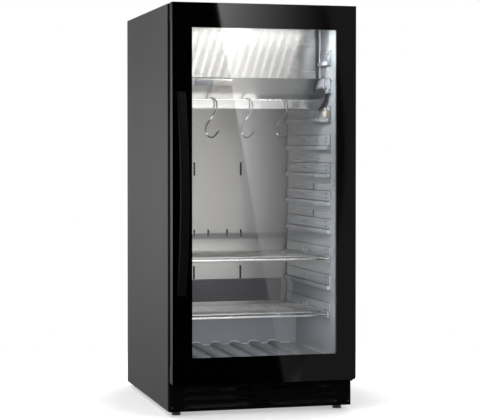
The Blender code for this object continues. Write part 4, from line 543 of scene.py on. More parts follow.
def light_cover(name):
    """Frosted cover over the light strip, brighter under each chip."""
    f = Finish(name)
    x, _, _ = f.axes()
    along = f.sum("FRACT", f.times(x, 1 / sizes().led_pitch))
    from_chip = f.sum("ABSOLUTE", f.sum("SUBTRACT", along, 0.5))
    f.set(Base_Color=(0.9, 0.9, 0.9), Roughness=0.4)
    f.set(Emission_Color=tuple(colours().glow), Emission_Strength=f.span(from_chip, 0.0, 0.35, 6.0, 1.6))
    return f.material


def make_finishes():
    """Makes every material once and returns them by the name that the parts use."""
    c = colours()
    upright = (500.0, 500.0, 3.0)
    level = (3.0, 500.0, 500.0)
    up, aside = (0.0, 0.0, 1.0), (1.0, 0.0, 0.0)
    return {
        "graphite_paint": satin_paint("graphite_paint", tuple(c.case)),
        # The casing's sides and the door's sides carry painted shade of the door gap
        "case_side": satin_paint("case_side", tuple(c.case), PANEL_GAP_SHADE),
        "door_side": satin_paint("door_side", tuple(c.case), DOOR_GAP_SHADE),
        "dark_edge": dark_rail_paint("dark_edge", tuple(c.edge)),
        "black_steel": powder_coat("black_steel", (0.0022, 0.0022, 0.0025)),
        "black_glass": printed_glass("printed_glass"),
        "clear_glass": window_glass("window_glass"),
        "zinc_sheet": zinc_sheet("zinc_sheet"),
        "stainless": brushed_steel("stainless", tuple(c.steel), level, up),
        "polished_steel": polished_wire("polished_steel", tuple(c.chrome), 0.18),
        "liner_grey": moulded_plastic("liner_grey", tuple(c.liner), 700.0, 0.16, 0.03),
        "foam": rigid_foam("foam"),
        "seal_black": soft_rubber("seal_black"),
        "black_plastic": moulded_plastic("black_plastic", (0.016, 0.016, 0.017), 1100.0, 0.5, 0.25, 0.2),
        "white_plastic": moulded_plastic("white_plastic", (0.74, 0.74, 0.72), 900.0, 0.38, 0.1),
        "light_lens": light_cover("light_lens"),
        "carbon_felt": carbon_felt("carbon_felt"),
        "copper": drawn_copper("copper"),
        "fin_aluminium": fin_stack("fin_aluminium"),
        "back_steel": brushed_steel("back_steel", tuple(c.steel), level, up, 0.36, 0.6),
        "housing_steel": brushed_steel("housing_steel", tuple(c.steel), level, (0.29, 0.0, 0.957), 0.22, 0.9, 0.004),
        "rail_steel": brushed_steel("rail_steel", tuple(c.chrome), level, up, 0.2, 0.5),
        "guide_steel": brushed_steel("guide_steel", (0.56, 0.55, 0.535), level, up, 0.34, 0.6),
        "tray_plastic": moulded_plastic("tray_plastic", (0.115, 0.12, 0.128), 700.0, 0.13, 0.03),
        # Darker than the other polished steel: a painted reflection of the dark surroundings the hooks mirror
        "hook_steel_dark_reflection": polished_wire("hook_steel_dark_reflection", (0.40, 0.395, 0.385), 0.12),
        # Darkened as painted shade on the rail brackets
        "bracket_shade_steel": brushed_steel("bracket_shade_steel", (0.17, 0.185, 0.21), upright, aside, 0.36, 0.4),
        # Darkened as painted shade of the gap beside the housing
        "flange_shade_steel": brushed_steel("flange_shade_steel", (0.17, 0.163, 0.16), upright, aside, 0.4, 0.4),
        # Paler than the brackets as a painted highlight on their lit top
        "cheek_highlight_paint": satin_paint("cheek_highlight_paint", (0.29, 0.29, 0.33)),
        # Pale plastic of the housing seals, also the painted highlight on the tray's bead
        "cap_plastic": moulded_plastic("cap_plastic", (0.55, 0.59, 0.63), 900.0, 0.34, 0.08),
        "sensor_cream": moulded_plastic("sensor_cream", (0.33, 0.31, 0.24), 900.0, 0.38, 0.1),
        # Dark as a painted shade below the back panel's edge
        "grille_shade_plastic": moulded_plastic("grille_shade_plastic", (0.075, 0.075, 0.08), 900.0, 0.4, 0.15),
        "module_window": moulded_plastic("module_window", (0.34, 0.355, 0.38), 900.0, 0.3, 0.05),
        "filter_plate": moulded_plastic("filter_plate", (0.62, 0.60, 0.57), 900.0, 0.45, 0.1),
        # Paler than the liner: a painted highlight on the lit front ends of the ledges
        "ledge_cap_highlight": moulded_plastic("ledge_cap_highlight", (0.27, 0.30, 0.34), 900.0, 0.4, 0.08),
        "clip_plastic": moulded_plastic("clip_plastic", (0.16, 0.17, 0.19), 900.0, 0.34, 0.08),
        "gap_shadow": moulded_plastic("gap_shadow", (0.022, 0.023, 0.026), 900.0, 0.6, 0.1),
        "frame_black": powder_coat("frame_black", (0.0045, 0.0045, 0.005), 0.5),
        "plinth_black": powder_coat("plinth_black", (0.0010, 0.0010, 0.0011), 0.5),
    }


# Parts whose finish differs from the one that their material slot names
SPECIAL = {
    "back_panel": "back_steel",
    "evaporator_housing": "housing_steel",
    "hanging_rail": "rail_steel",
    "drip_tray": "tray_plastic",
    "plinth_grille": "plinth_black",
    "hook_left": "hook_steel_dark_reflection",
    "hook_middle": "hook_steel_dark_reflection",
    "hook_right": "hook_steel_dark_reflection",
    "rail_bracket_left": "bracket_shade_steel",
    "rail_bracket_right": "bracket_shade_steel",
    "air_guide": "guide_steel",
    "air_sensor": "sensor_cream",
    "front_frame": "frame_black",
    "side_panel_left": "case_side",
    "side_panel_right": "case_side",
    "door_stile_left": "door_side",
    "door_stile_right": "door_side",
}


def round_edges(bm, edges, offset, segments=2):
    """Rounds the given edges by a small bevel."""
    bmesh.ops.bevel(
        bm,
        geom=list(edges),
        offset=offset,
        offset_type="OFFSET",
        affect="EDGES",
        segments=segments,
        profile=0.5,
        material=-1,
    )


def block(bm, near, far, bevel=0.0):
    """A box between two corners, with its edges rounded."""
    near, far = Vector(near), Vector(far)
    matrix = Matrix.Translation((near + far) / 2) @ Matrix.Diagonal((*(far - near), 1.0))
    made = bmesh.ops.create_cube(bm, size=1.0, matrix=matrix)["verts"]
    if bevel:
        round_edges(bm, {e for v in made for e in v.link_edges}, bevel)
    return made


def rod(bm, start, end, radius, segments, end_radius=None):
    """A round bar between two points, or a cone where its end has another radius."""
    start, end = Vector(start), Vector(end)
    run = end - start
    matrix = Matrix.Translation((start + end) / 2) @ run.to_track_quat("Z", "Y").to_matrix().to_4x4()
    return bmesh.ops.create_cone(
        bm,
        cap_ends=True,
        segments=segments,
        radius1=radius,
        radius2=radius if end_radius is None else end_radius,
        depth=run.length,
        matrix=matrix,
    )["verts"]


def mirrored_block(bm, side, near, far, bevel=0.0):
    """A block given for the right side, put on the side that is asked for."""
    xs = sorted((side * near[0], side * far[0]))
    return block(bm, (xs[0], near[1], near[2]), (xs[1], far[1], far[2]), bevel)


def sweep(bm, path, radius, sides):
    """A round bead along a path: one ring of points, extruded from corner to corner."""
    ring = None
    for i, point in enumerate(path):
        before, after = path[max(i - 1, 0)], path[min(i + 1, len(path) - 1)]
        turn = (after - before).to_track_quat("Z", "Y").to_matrix().to_4x4()
        matrix = Matrix.Translation(point) @ turn
        closed = i in (0, len(path) - 1)
        made = bmesh.ops.create_circle(bm, cap_ends=closed, segments=sides, radius=radius, matrix=matrix)
        edges = list({e for v in made["verts"] for e in v.link_edges})
        if ring:
            bmesh.ops.bridge_loops(bm, edges=ring + edges)
        ring = edges


def mesh_of(name, bm):
    """Turns a bmesh into a mesh and frees it."""
    mesh = bpy.data.meshes.new(name)
    bm.to_mesh(mesh)
    bm.free()
    return mesh


def placed(name, data):
    """A new object in the scene for a mesh, a lamp or a camera."""
    obj = bpy.data.objects.new(name, data)
    bpy.context.scene.collection.objects.link(obj)
    return obj


def piece(name, bm, material, body=BODY):
    """Turns a finished bmesh into a piece that rides on a body."""
    bmesh.ops.recalc_face_normals(bm, faces=bm.faces)
    mesh = mesh_of(name, bm)
    mesh.shade_smooth()
    mesh.set_sharp_from_angle(angle=math.radians(35.0))
    mesh.materials.append(bpy.data.materials[material])
    obj = placed(name, mesh)
    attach(obj, body)
    return obj


def screw_head():
    """One pan head with a cross recess, face up, of radius 1."""
    bm = bmesh.new()
    rod(bm, (0, 0, -0.2), (0, 0, 0.35), 1.0, 20, 0.92)
    round_edges(bm, [e for e in bm.edges if all(v.co.z > 0.3 for v in e.verts)], 0.25, 3)
    head = placed("head", mesh_of("head", bm))
    bm = bmesh.new()
    block(bm, (-0.55, -0.12, 0.1), (0.55, 0.12, 0.6))
    block(bm, (-0.12, -0.55, 0.1), (0.12, 0.55, 0.6))
    cross = placed("cross", mesh_of("cross", bm))
    cut = head.modifiers.new("recess", "BOOLEAN")
    cut.operation = "DIFFERENCE"
    cut.object = cross
    cut.solver = "EXACT"
    cut.use_self = True
    bpy.context.view_layer.update()
    graph = bpy.context.evaluated_depsgraph_get()
    mesh = bpy.data.meshes.new_from_object(head.evaluated_get(graph))
    for obj in (head, cross):
        bpy.data.objects.remove(obj, do_unlink=True)
    if not mesh.polygons:
        raise RuntimeError("The screw head came out empty")
    return mesh


def screws(name, places, outward, finish, radius=None):
    """Pan-head screws at places on a face that looks along outward, all in one piece."""
    head = screw_head()
    radius = radius or sizes().screw_radius
    bm = bmesh.new()
    turn = Vector(outward).to_track_quat("Z", "Y").to_matrix().to_4x4()
    for i, place in enumerate(places):
        start = len(bm.verts)
        bm.from_mesh(head)
        bm.verts.ensure_lookup_table()
        spin = Matrix.Rotation(math.radians(17.0 + 23.0 * i), 4, "Z")
        matrix = Matrix.Translation(Vector(place)) @ turn @ spin @ Matrix.Scale(radius, 4)
        bmesh.ops.transform(bm, matrix=matrix, verts=bm.verts[start:])
    return piece(name, bm, finish)


class CABINET_OT_stage(bpy.types.Operator):
    """Makes the camera, the floor, the reflector boards and the lamps"""

    bl_idname = "cabinet.stage"
    bl_label = "Studio"

    def execute(self, context):
        scene = context.scene
        scene.view_settings.view_transform = "Standard"
        make_camera(scene)
        make_world(scene)
        make_floor()
        mirror_board("front_board", FRONT_BOARD, front_level)
        mirror_board("back_board", BACK_BOARD, back_level)
        make_lamps()
        return {"FINISHED"}


def make_camera(scene):
    """The view from the front left, a little above the middle."""
    data = bpy.data.cameras.new("camera")
    data.lens = CAMERA_LENS
    data.sensor_width = 36.0
    data.shift_x, data.shift_y = CAMERA_SHIFT
    data.clip_end = CAMERA_REACH
    camera = placed("camera", data)
    camera.location = CAMERA_PLACE
    camera.rotation_euler = CAMERA_TURN
    scene.camera = camera


def make_world(scene):
    """White wherever it is seen or mirrored, and a plain grey as a light."""
    world = bpy.data.worlds.new("studio")
    world.use_nodes = True
    tree = world.node_tree
    back = tree.nodes["Background"]
    back.inputs["Color"].default_value = (1.0, 1.0, 1.0, 1.0)
    path = tree.nodes.new("ShaderNodeLightPath")
    seen = path.outputs["Is Camera Ray"]
    for name in ("Is Glossy Ray", "Is Transmission Ray"):
        either = tree.nodes.new("ShaderNodeMath")
        either.operation = "MAXIMUM"
        tree.links.new(seen, either.inputs[0])
        tree.links.new(path.outputs[name], either.inputs[1])
        seen = either.outputs[0]
    level = tree.nodes.new("ShaderNodeMapRange")
    tree.links.new(seen, level.inputs["Value"])
    level.inputs["To Min"].default_value = AMBIENT
    level.inputs["To Max"].default_value = 1.0
    tree.links.new(level.outputs["Result"], back.inputs["Strength"])
    scene.world = world


def stage_object(name, bm, material):
    """A surface of the studio that doesn't belong to the cabinet."""
    bmesh.ops.recalc_face_normals(bm, faces=bm.faces)
    mesh = mesh_of(name, bm)
    mesh.materials.append(material)
    obj = placed(name, mesh)
    return obj


def make_floor():
    """A pale floor that keeps the shadow near the cabinet, glows less close to it as a painted contact shadow, and
    runs into plain white further off.
    """
    f = Finish("floor")
    path = f.add("ShaderNodeLightPath").outputs
    x, y, _ = f.axes()
    reach = f.sum("SQRT", f.sum("ADD", f.times(x, x), f.times(y, y)))
    bounce = f.times(path["Is Diffuse Ray"], f.span(reach, *FLOOR_BOUNCE, 1.0, 0.0))
    f.set(Base_Color=f.blend(bounce, (0.8, 0.8, 0.8), (0.08, 0.08, 0.08)), Roughness=0.6, Specular_IOR_Level=0.1)
    near = f.add("ShaderNodeEmission")
    # Painted shadow: the glow seen by the camera is weaker close to the cabinet
    lift = f.span(reach, *FLOOR_LIFT_REACH, FLOOR_LIFT_NEAR, FLOOR_LIFT)
    f.join(f.times(path["Is Camera Ray"], lift), near.inputs["Strength"])
    both = f.add("ShaderNodeAddShader")
    f.join(f.shader.outputs[0], both.inputs[0])
    f.join(near.outputs[0], both.inputs[1])
    far = f.add("ShaderNodeEmission")
    fade = f.times(f.span(reach, *FLOOR_FADE, 0.0, 1.0), path["Is Camera Ray"])
    f.join(f.layer(fade, both.outputs[0], far.outputs[0]), f.output.inputs["Surface"])
    bm = bmesh.new()
    matrix = Matrix.Translation((0, 0, -FLOOR_DROP))
    bmesh.ops.create_grid(bm, x_segments=1, y_segments=1, size=FLOOR_HALF, matrix=matrix)
    floor = stage_object("floor", bm, f.material)
    floor.visible_glossy = False


def mirror_board(name, y, level_of):
    """A board that only mirrored rays see, with a level worked out over its face."""
    f = Finish(name)
    glow = f.add("ShaderNodeEmission")
    f.join(level_of(f), glow.inputs["Strength"])
    f.join(glow.outputs[0], f.output.inputs["Surface"])
    f.tree.nodes.remove(f.shader)
    bm = bmesh.new()
    matrix = Matrix.Translation((0.0, y, 1.0)) @ Matrix.Rotation(math.pi / 2, 4, "X")
    bmesh.ops.create_grid(bm, x_segments=1, y_segments=1, size=BOARD_HALF, matrix=matrix)
    board = stage_object(name, bm, f.material)
    board.visible_camera = False
    board.visible_diffuse = False
    board.visible_transmission = False
    board.visible_shadow = False
    board.visible_volume_scatter = False


def front_level(f):
    """Dark for the door's own gloss, with one bright slanted patch, and pale for the steel behind the panes."""
    x, _, z = f.axes()
    past = f.sum("SUBTRACT", x, f.sum("MULTIPLY_ADD", z, PATCH_LEAN, PATCH_EDGE))
    left = f.sum("MAXIMUM", f.sum("MULTIPLY_ADD", past, -1 / PATCH_WIDTH, 1.0), 0.0)
    across = f.sum("POWER", left, PATCH_FALL)
    over = f.times(f.sum("SUBTRACT", z, PATCH_HEIGHT), 1 / PATCH_WIDTH)
    patch = f.times(across, f.sum("POWER", math.e, over), f.sum("GREATER_THAN", past, 0.0))
    dark = f.sum("MULTIPLY_ADD", patch, PATCH_LEVEL, BOARD_DARK)
    path = f.add("ShaderNodeLightPath").outputs
    behind_panes = f.sum("GREATER_THAN", path["Transparent Depth"], PANE_CROSSINGS)
    far_off = f.sum("GREATER_THAN", path["Ray Length"], OPENING_REACH)
    behind_opening = f.times(far_off, f.sum("GREATER_THAN", x, ROOM_FROM))
    mix = f.add("ShaderNodeMix", data_type="FLOAT")
    f.join(f.sum("MAXIMUM", behind_panes, behind_opening), mix.inputs[0])
    f.join(dark, mix.inputs[2])
    f.join(f.span(x, *ROOM_SPAN, *ROOM_LEVELS), mix.inputs[3])
    return mix.outputs[0]


def back_level(f):
    """A soft pale band at the height of the side panel, dark above and below."""
    _, _, z = f.axes()
    off = f.times(f.sum("SUBTRACT", z, SIDE_GLOSS_HEIGHT), 1 / SIDE_GLOSS_SPREAD)
    bell = f.sum("POWER", math.e, f.times(off, off, -1.0))
    return f.sum("MULTIPLY_ADD", bell, SIDE_GLOSS, SIDE_GLOSS_LEAST)


def area_lamp(name, place, aim, size, power):
    """A rectangular soft lamp at a place, looking at aim."""
    data = bpy.data.lights.new(name, "AREA")
    data.shape = "RECTANGLE"
    data.size, data.size_y = size
    data.energy = power
    lamp = placed(name, data)
    lamp.location = place
    lamp.rotation_euler = (Vector(aim) - Vector(place)).to_track_quat("-Z", "Y").to_euler()
    return lamp


def make_lamps():
    """Soft lamps for the room and the inside, and small ones that only the steel and the wires mirror."""
    lens = (low("light_lens") + high("light_lens")) / 2
    y, z = lens.y, low("light_lens").z - LIGHT_DROP
    # Each lamp: name, place, aim, size, power
    soft = (
        ("key", (-3.2, -2.4, 3.0), (0.0, 0.0, 0.7), (1.8, 1.8), 80.0),
        ("fill", (2.6, -3.2, 2.6), (0.0, 0.0, 0.6), (2.0, 2.0), 45.0),
        ("top", (0.0, 0.6, 3.6), (0.0, 0.0, 0.0), (2.4, 2.4), 60.0),
        ("front", (-0.6, -4.2, 1.0), (0.0, 0.0, 0.5), (1.6, 1.6), 110.0),
        ("strip", (0.0, y, z), (0.0, y + 0.15, z - 1.0), (0.44, 0.02), 2.0),
        ("inner", (0.0, -0.29, 0.45), (0.0, 0.2, 0.42), (0.46, 0.5), 2.3),
    )
    mirrored = (
        ("wash", (0.0125, y, z), (0.0125, y + 0.3, z - 1.0), (0.465, 0.02), 0.17),
        ("back_wash", (-0.03, -0.22, 0.945), (-0.06, 0.28, 0.88), (0.24, 0.03), 0.05),
        ("slope_wash", (-0.10, -0.055, 0.93), (-0.10, -0.055, 1.8), (0.34, 0.04), 0.12),
        ("low_wash", (0.05, -0.2, 0.44), (0.03, 0.28, 0.425), (0.32, 0.03), 0.12),
        ("shelf_wash", (0.0, -0.25, 0.72), (0.0, -0.15, 0.0), (0.42, 0.12), 0.16),
    )
    for entry in soft:
        area_lamp(*entry).visible_glossy = False
    for entry in mirrored:
        area_lamp(*entry).visible_diffuse = False
    make_wall_lamps(z)
    make_streak_lamps()


def make_wall_lamps(z):
    """Light from the strip that reaches the front of each side wall and ends there in a clear slanted edge."""
    for side in (-1, 1):
        data = bpy.data.lights.new(f"wall_light_{side}", "POINT")
        data.energy = WALL_LIGHT
        data.color = (0.94, 1.0, 0.96)
        data.shadow_soft_size = 0.003
        data.use_nodes = True
        tree = data.node_tree
        place = tree.nodes.new("ShaderNodeTexCoord")
        parts = tree.nodes.new("ShaderNodeSeparateXYZ")
        tree.links.new(place.outputs["Normal"], parts.inputs[0])

        def node_sum(operation, *values):
            node = tree.nodes.new("ShaderNodeMath")
            node.operation = operation
            for socket, value in zip(node.inputs, values):
                if isinstance(value, float):
                    socket.default_value = value
                else:
                    tree.links.new(value, socket)
            return node.outputs[0]

        past = node_sum("MULTIPLY_ADD", parts.outputs["Z"], WALL_LIGHT_SLOPE, parts.outputs["Y"])
        front = node_sum("LESS_THAN", past, 0.0)
        outward = node_sum("GREATER_THAN", node_sum("MULTIPLY", parts.outputs["X"], float(side)), 0.0)
        tree.links.new(node_sum("MULTIPLY", front, outward), tree.nodes["Emission"].inputs["Strength"])
        lamp = placed(data.name, data)
        lamp.location = (-side * 0.05, CASE_FRONT + WALL_LIGHT_DEPTH, z)
        lamp.visible_glossy = False
        lamp.visible_camera = False


def make_streak_lamps():
    """Slender leaning lights that only the housing's brushed front mirrors, one for each chip of the strip."""
    housing = low("evaporator_housing")
    lean = math.radians(STREAK_LEAN)
    turn = Matrix.Rotation(lean, 4, "Y") @ Matrix.Rotation(math.pi / 2, 4, "X")
    for i in range(STREAKS):
        x = STREAK_RIGHT - i * sizes().led_pitch
        place = Vector((x, housing.y - STREAK_GAP, housing.z + STREAK_HEIGHT / 2))
        data = bpy.data.lights.new(f"streak_{i}", "AREA")
        data.shape = "RECTANGLE"
        data.size, data.size_y = STREAK_WIDTH, STREAK_HEIGHT / math.cos(lean)
        data.energy = STREAK_POWER * (1.0 + STREAK_RISE * i)
        lamp = placed(data.name, data)
        lamp.matrix_world = Matrix.Translation(place) @ turn
        lamp.visible_camera = False
        lamp.visible_diffuse = False


class CABINET_OT_finishes(bpy.types.Operator):
    """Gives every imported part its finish"""

    bl_idname = "cabinet.finishes"
    bl_label = "Finishes"

    def execute(self, context):
        table = make_finishes()
        slots = {entry["node"]: entry["material_slot"] for entry in frame["record"]["subparts"]}
        for node, obj in frame["nodes"].items():
            material = table[SPECIAL.get(node, slots[node])]
            for slot in obj.material_slots:
                slot.material = material
        return {"FINISHED"}


class CABINET_OT_screws(bpy.types.Operator):
    """Puts screws on the sheets at the back and on the plinth"""

    bl_idname = "cabinet.screws"
    bl_label = "Screws"

    def execute(self, context):
        rear_low, rear_high = low("rear_panel"), high("rear_panel")
        rise = (rear_high.z - rear_low.z - 2 * SCREW_INSET) / (SIDE_SCREWS - 1)
        places = []
        for side in (-1, 1):
            x = side * (rear_high.x - SCREW_INSET)
            for i in range(SIDE_SCREWS):
                places.append((x, rear_high.y - SCREW_SINK, rear_low.z + SCREW_INSET + rise * i))
        for x in TOP_SCREWS:
            places.append((x, rear_high.y - SCREW_SINK, rear_high.z - SCREW_INSET))
        screws("rear_screws", places, (0, 1, 0), "zinc_sheet")
        cover_low, cover_high = low("machine_cover"), high("machine_cover")
        places = []
        for side in (-1, 1):
            x = side * (cover_high.x - SCREW_INSET)
            for z in (cover_low.z + SCREW_INSET, (cover_low.z + cover_high.z) / 2, cover_high.z - SCREW_INSET):
                places.append((x, cover_high.y - SCREW_SINK, z))
        screws("cover_screws", places, (0, 1, 0), "zinc_sheet")
        front, edge = low("plinth_grille").y, high("plinth_grille").x - SCREW_INSET
        places = [(side * edge, front, PLINTH_SCREW_HEIGHT) for side in (-1, 1)]
        screws("plinth_screws", places, (0, -1, 0), "black_steel", PLINTH_SCREW_RADIUS)
        return {"FINISHED"}


class CABINET_OT_housing_trim(bpy.types.Operator):
    """Closes the gaps beside the evaporator housing with a bent flange, darkened as painted shade of the gap, a pale
    seal and a cheek, paler as a painted highlight on the lit top of the rail bracket
    """

    bl_idname = "cabinet.housing_trim"
    bl_label = "Housing trim"

    def execute(self, context):
        housing_low = low("evaporator_housing")
        front = housing_low.y - 0.0017
        bottom, top = housing_low.z + 0.0008, high("evaporator_housing").z - 0.016
        outer = high("rail_bracket_right").x
        for side, name in ((-1, "left"), (1, "right")):
            # Painted shade: the flange's steel is dark, for the shade in the gap beside the housing
            bm = bmesh.new()
            near, far = FLANGE_SPAN
            mirrored_block(bm, side, (near, front, bottom), (far, front + 0.0014, top), 0.0005)
            piece(f"housing_flange_{name}", bm, "flange_shade_steel")
            bm = bmesh.new()
            near, far = SEAL_SPAN
            mirrored_block(bm, side, (near, front - 0.002, bottom), (far, front + 0.012, top), 0.001)
            piece(f"housing_seal_{name}", bm, "cap_plastic")
            # Painted highlight: the cheek is paler than the bracket, for the bracket's lit top
            bm = bmesh.new()
            foot, head = CHEEK_HEIGHTS
            verts = mirrored_block(bm, side, (outer - 0.0026, 0.0, foot), (outer - 0.0006, 1.0, head))
            for v in verts:
                upper, back = v.co.z > (foot + head) / 2, v.co.y > 0.5
                v.co.y = CASE_FRONT + (CHEEK_TOP if upper else CHEEK_FOOT)[back]
            round_edges(bm, bm.edges, 0.0005)
            piece(f"bracket_cheek_{name}", bm, "cheek_highlight_paint")
        return {"FINISHED"}


class CABINET_OT_back_trim(bpy.types.Operator):
    """Puts the air return grille on the foot of the back panel, its dark plastic a painted shade below the panel's
    edge, and dark blocks in its slots that paint the shade inside them
    """

    bl_idname = "cabinet.back_trim"
    bl_label = "Back panel trim"

    def execute(self, context):
        # Painted shade: the grille's dark plastic stands for the shade below the back panel's edge
        bm = bmesh.new()
        bottom, top = GRILLE_HEIGHTS
        y, half = BACK_FACE, GRILLE_HALF
        block(bm, (-half, y - 0.0012, bottom), (half, y - 0.0002, top), 0.0003)
        half -= 0.008
        for i in range(LOUVRES):
            z = bottom + 0.007 + i * LOUVRE_PITCH
            block(bm, (-half, y - 0.0035, z), (half, y - 0.001, z + 0.0032), 0.0006)
        piece("return_grille_shade", bm, "grille_shade_plastic")
        # Painted shade: dark blocks where the back panel's slots are
        bm = bmesh.new()
        for face, z, length, columns, width in SLOT_SHADES:
            for x in columns:
                near = (x - width / 2, face - 0.0006, z - length / 2)
                block(bm, near, (x + width / 2, face - 0.0001, z + length / 2), 0.0002)
        piece("back_slot_shades", bm, "gap_shadow")
        return {"FINISHED"}


class CABINET_OT_filter_module(bpy.types.Operator):
    """Makes the filter module on the housing's slope: a dark window beside a ribbed plate"""

    bl_idname = "cabinet.filter_module"
    bl_label = "Filter module"

    def execute(self, context):
        near, far = low("carbon_filter"), high("carbon_filter")
        across, down = Vector((1.0, 0.0, 0.0)), Vector(SLOPE_DOWN).normalized()
        out = down.cross(across)
        turn = Matrix((across, down, out)).transposed().to_4x4()
        seat = Matrix.Translation(((near.x + far.x) / 2, near.y + 0.0097, far.z - 0.0120)) @ turn
        bm = bmesh.new()
        block(bm, (-0.058, -MODULE_HALF, MODULE_BACK), (-0.001, MODULE_HALF, 0.0022), 0.0008)
        window = set(bm.faces)
        block(bm, (0.001, -MODULE_HALF, MODULE_BACK), (0.064, MODULE_HALF, PLATE_FACE), 0.0008)
        for i in range(RIBS):
            x = 0.005 + i * RIB_PITCH
            block(bm, (x, -0.010, 0.001), (x + 0.0028, 0.010, 0.0024), 0.0004)
        block(bm, (-0.070, -MODULE_HALF, MODULE_BACK), (-0.060, MODULE_HALF, PLATE_FACE), 0.0008)
        for f in bm.faces:
            f.material_index = 0 if f in window else 1
        bmesh.ops.transform(bm, matrix=seat, verts=bm.verts)
        module = piece("filter_module", bm, "module_window")
        module.data.materials.append(bpy.data.materials["filter_plate"])
        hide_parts("carbon_filter")
        return {"FINISHED"}


class CABINET_OT_ledge_trim(bpy.types.Operator):
    """Gives the ledges their end caps, pale as a painted highlight on their lit front ends, painted shadow lines
    along each joint, and dark blocks that paint the shade in the ledge slots and the wall slots
    """

    bl_idname = "cabinet.ledge_trim"
    bl_label = "Ledge trim"

    def execute(self, context):
        wall, strip = WALL - 0.0002, WALL - STRIP_REACH
        front, end = CASE_FRONT + LEDGE_FRONT, CASE_FRONT + LEDGE_END
        near, far = front - 0.0012, front - 0.0002
        slot_near, slot_far = (CASE_FRONT + y for y in WALL_SLOT_DEPTHS)
        for side, name in ((-1, "left"), (1, "right")):
            caps, joint_shadows, slot_shades = bmesh.new(), bmesh.new(), bmesh.new()
            for i in range(LEDGES):
                top = LEDGE_ZERO + i * LEDGE_PITCH
                head = top + STRIP_HEIGHT
                # Painted highlight: thin pale caps on the front ends of lip and strip, which face the light
                mirrored_block(caps, side, (WALL - LIP_REACH, near, top - LIP_HEIGHT), (wall, far, top), 0.0004)
                mirrored_block(caps, side, (strip, near, top + 0.0001), (wall, far, head), 0.0004)
                # Painted shadow: thin dark lines over the top of each strip and each lip
                for z, x in ((head + 0.0009, wall), (top + 0.0009, strip - 0.0002)):
                    mirrored_block(joint_shadows, side, (x - 0.0005, front, z - 0.001), (x, end, z + 0.001))
                # Painted shade: dark blocks where the strip's slots are
                for depth, heights in LEDGE_SLOTS:
                    for height in heights:
                        y, z = CASE_FRONT + depth, top + height
                        corner = (strip - 0.0006, y - 0.008, z - 0.002)
                        mirrored_block(slot_shades, side, corner, (strip, y + 0.008, z + 0.002), 0.0004)
            # Painted shade: dark blocks where the wall's upright slots are
            for z, length in WALL_SLOTS:
                corner = (WALL - 0.0008, slot_near, z - length / 2)
                mirrored_block(slot_shades, side, corner, (WALL - 0.0001, slot_far, z + length / 2))
            piece(f"ledge_caps_{name}", caps, "ledge_cap_highlight")
            piece(f"ledge_joint_shadows_{name}", joint_shadows, "gap_shadow")
            piece(f"ledge_slot_shades_{name}", slot_shades, "gap_shadow")
        return {"FINISHED"}


class CABINET_OT_stop_clips(bpy.types.Operator):
    """Puts a small pale clip with a round head on the highest free ledges"""

    bl_idname = "cabinet.stop_clips"
    bl_label = "Stop clips"

    def execute(self, context):
        seat = LEDGE_ZERO + (LEDGES - 1) * LEDGE_PITCH
        x = WALL - STRIP_REACH - 0.0035
        y = CASE_FRONT + 0.090
        for side, name in ((-1, "left"), (1, "right")):
            bm = bmesh.new()
            foot = (x - 0.0018, y - 0.002, seat + 0.0002)
            mirrored_block(bm, side, foot, (x + 0.0032, y + 0.002, seat + 0.013), 0.0006)
            catch = (x - 0.0008, y - 0.012, seat + 0.019)
            mirrored_block(bm, side, catch, (x + 0.0032, y - 0.008, seat + 0.0245), 0.0006)
            post = side * x
            matrix = Matrix.Translation((post, y, seat + 0.019))
            bmesh.ops.create_uvsphere(bm, u_segments=16, v_segments=10, radius=0.0023, matrix=matrix)
            rod(bm, (post, y, seat + 0.012), (post, y, seat + 0.018), 0.001, 10)
            rod(bm, (post, y, seat + 0.0185), (side * (x + 0.001), y - 0.010, seat + 0.0215), 0.001, 10)
            piece(f"stop_clip_{name}", bm, "clip_plastic")
        return {"FINISHED"}


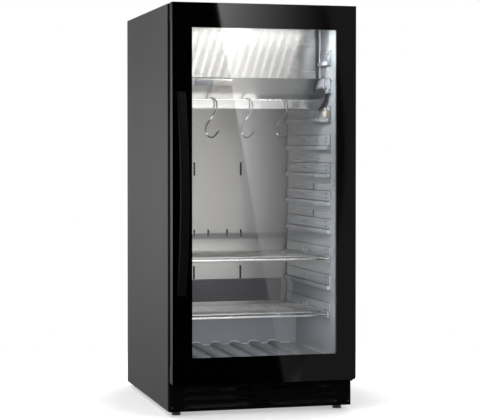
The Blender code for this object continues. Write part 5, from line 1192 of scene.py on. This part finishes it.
class CABINET_OT_tray_bead(bpy.types.Operator):
    """Runs a pale rolled bead along the waved back edge of the drip tray, its pale colour a painted highlight along
    the tray's lit rim
    """

    bl_idname = "cabinet.tray_bead"
    bl_label = "Tray bead"

    def execute(self, context):
        flat = high("drip_tray").z - RIDGE_HEIGHT
        line = [(-TRAY_HALF, flat)]
        for i in range(RIDGES):
            centre = (i - (RIDGES - 1) / 2) * RIDGE_PITCH
            for k in range(RIDGE_STEPS + 1):
                angle = math.pi * (1 - k / RIDGE_STEPS)
                x = centre + RIDGE_WIDTH / 2 * math.cos(angle)
                line.append((x, flat + RIDGE_HEIGHT * math.sin(angle)))
        line.append((TRAY_HALF, flat))
        bm = bmesh.new()
        path = [Vector((x, CASE_FRONT + TRAY_BACK, z + 0.0006)) for x, z in line]
        sweep(bm, path, BEAD_RADIUS, 8)
        # Painted highlight: the bead's pale plastic stands for the lit rim of the dark tray
        piece("tray_bead", bm, "cap_plastic", "drip_tray")
        return {"FINISHED"}


class CABINET_PT_panel(bpy.types.Panel):
    """Sizes, colours and one button for each step"""

    bl_label = "Dry aging cabinet"
    bl_space_type = "VIEW_3D"
    bl_region_type = "UI"
    bl_category = "Cabinet"

    def draw(self, context):
        for group in (context.scene.cabinet_sizes, context.scene.cabinet_colours):
            for name in group.__annotations__:
                self.layout.prop(group, name)
        for operator in OPERATORS:
            self.layout.operator(operator.bl_idname)


OPERATORS = (
    CABINET_OT_finishes,
    CABINET_OT_screws,
    CABINET_OT_housing_trim,
    CABINET_OT_back_trim,
    CABINET_OT_filter_module,
    CABINET_OT_ledge_trim,
    CABINET_OT_stop_clips,
    CABINET_OT_tray_bead,
    CABINET_OT_stage,
)
CLASSES = (CabinetSizes, CabinetColours, *OPERATORS, CABINET_PT_panel)


def register():
    for entry in CLASSES:
        bpy.utils.register_class(entry)
    bpy.types.Scene.cabinet_sizes = bpy.props.PointerProperty(type=CabinetSizes)
    bpy.types.Scene.cabinet_colours = bpy.props.PointerProperty(type=CabinetColours)


def unregister():
    del bpy.types.Scene.cabinet_colours
    del bpy.types.Scene.cabinet_sizes
    for entry in reversed(CLASSES):
        bpy.utils.unregister_class(entry)


def main():
    register()
    bpy.ops.cabinet.finishes()
    bpy.ops.cabinet.screws()
    bpy.ops.cabinet.housing_trim()
    bpy.ops.cabinet.back_trim()
    bpy.ops.cabinet.filter_module()
    bpy.ops.cabinet.ledge_trim()
    bpy.ops.cabinet.stop_clips()
    bpy.ops.cabinet.tray_bead()
    bpy.ops.cabinet.stage()


if __name__ == "__main__":
    main()
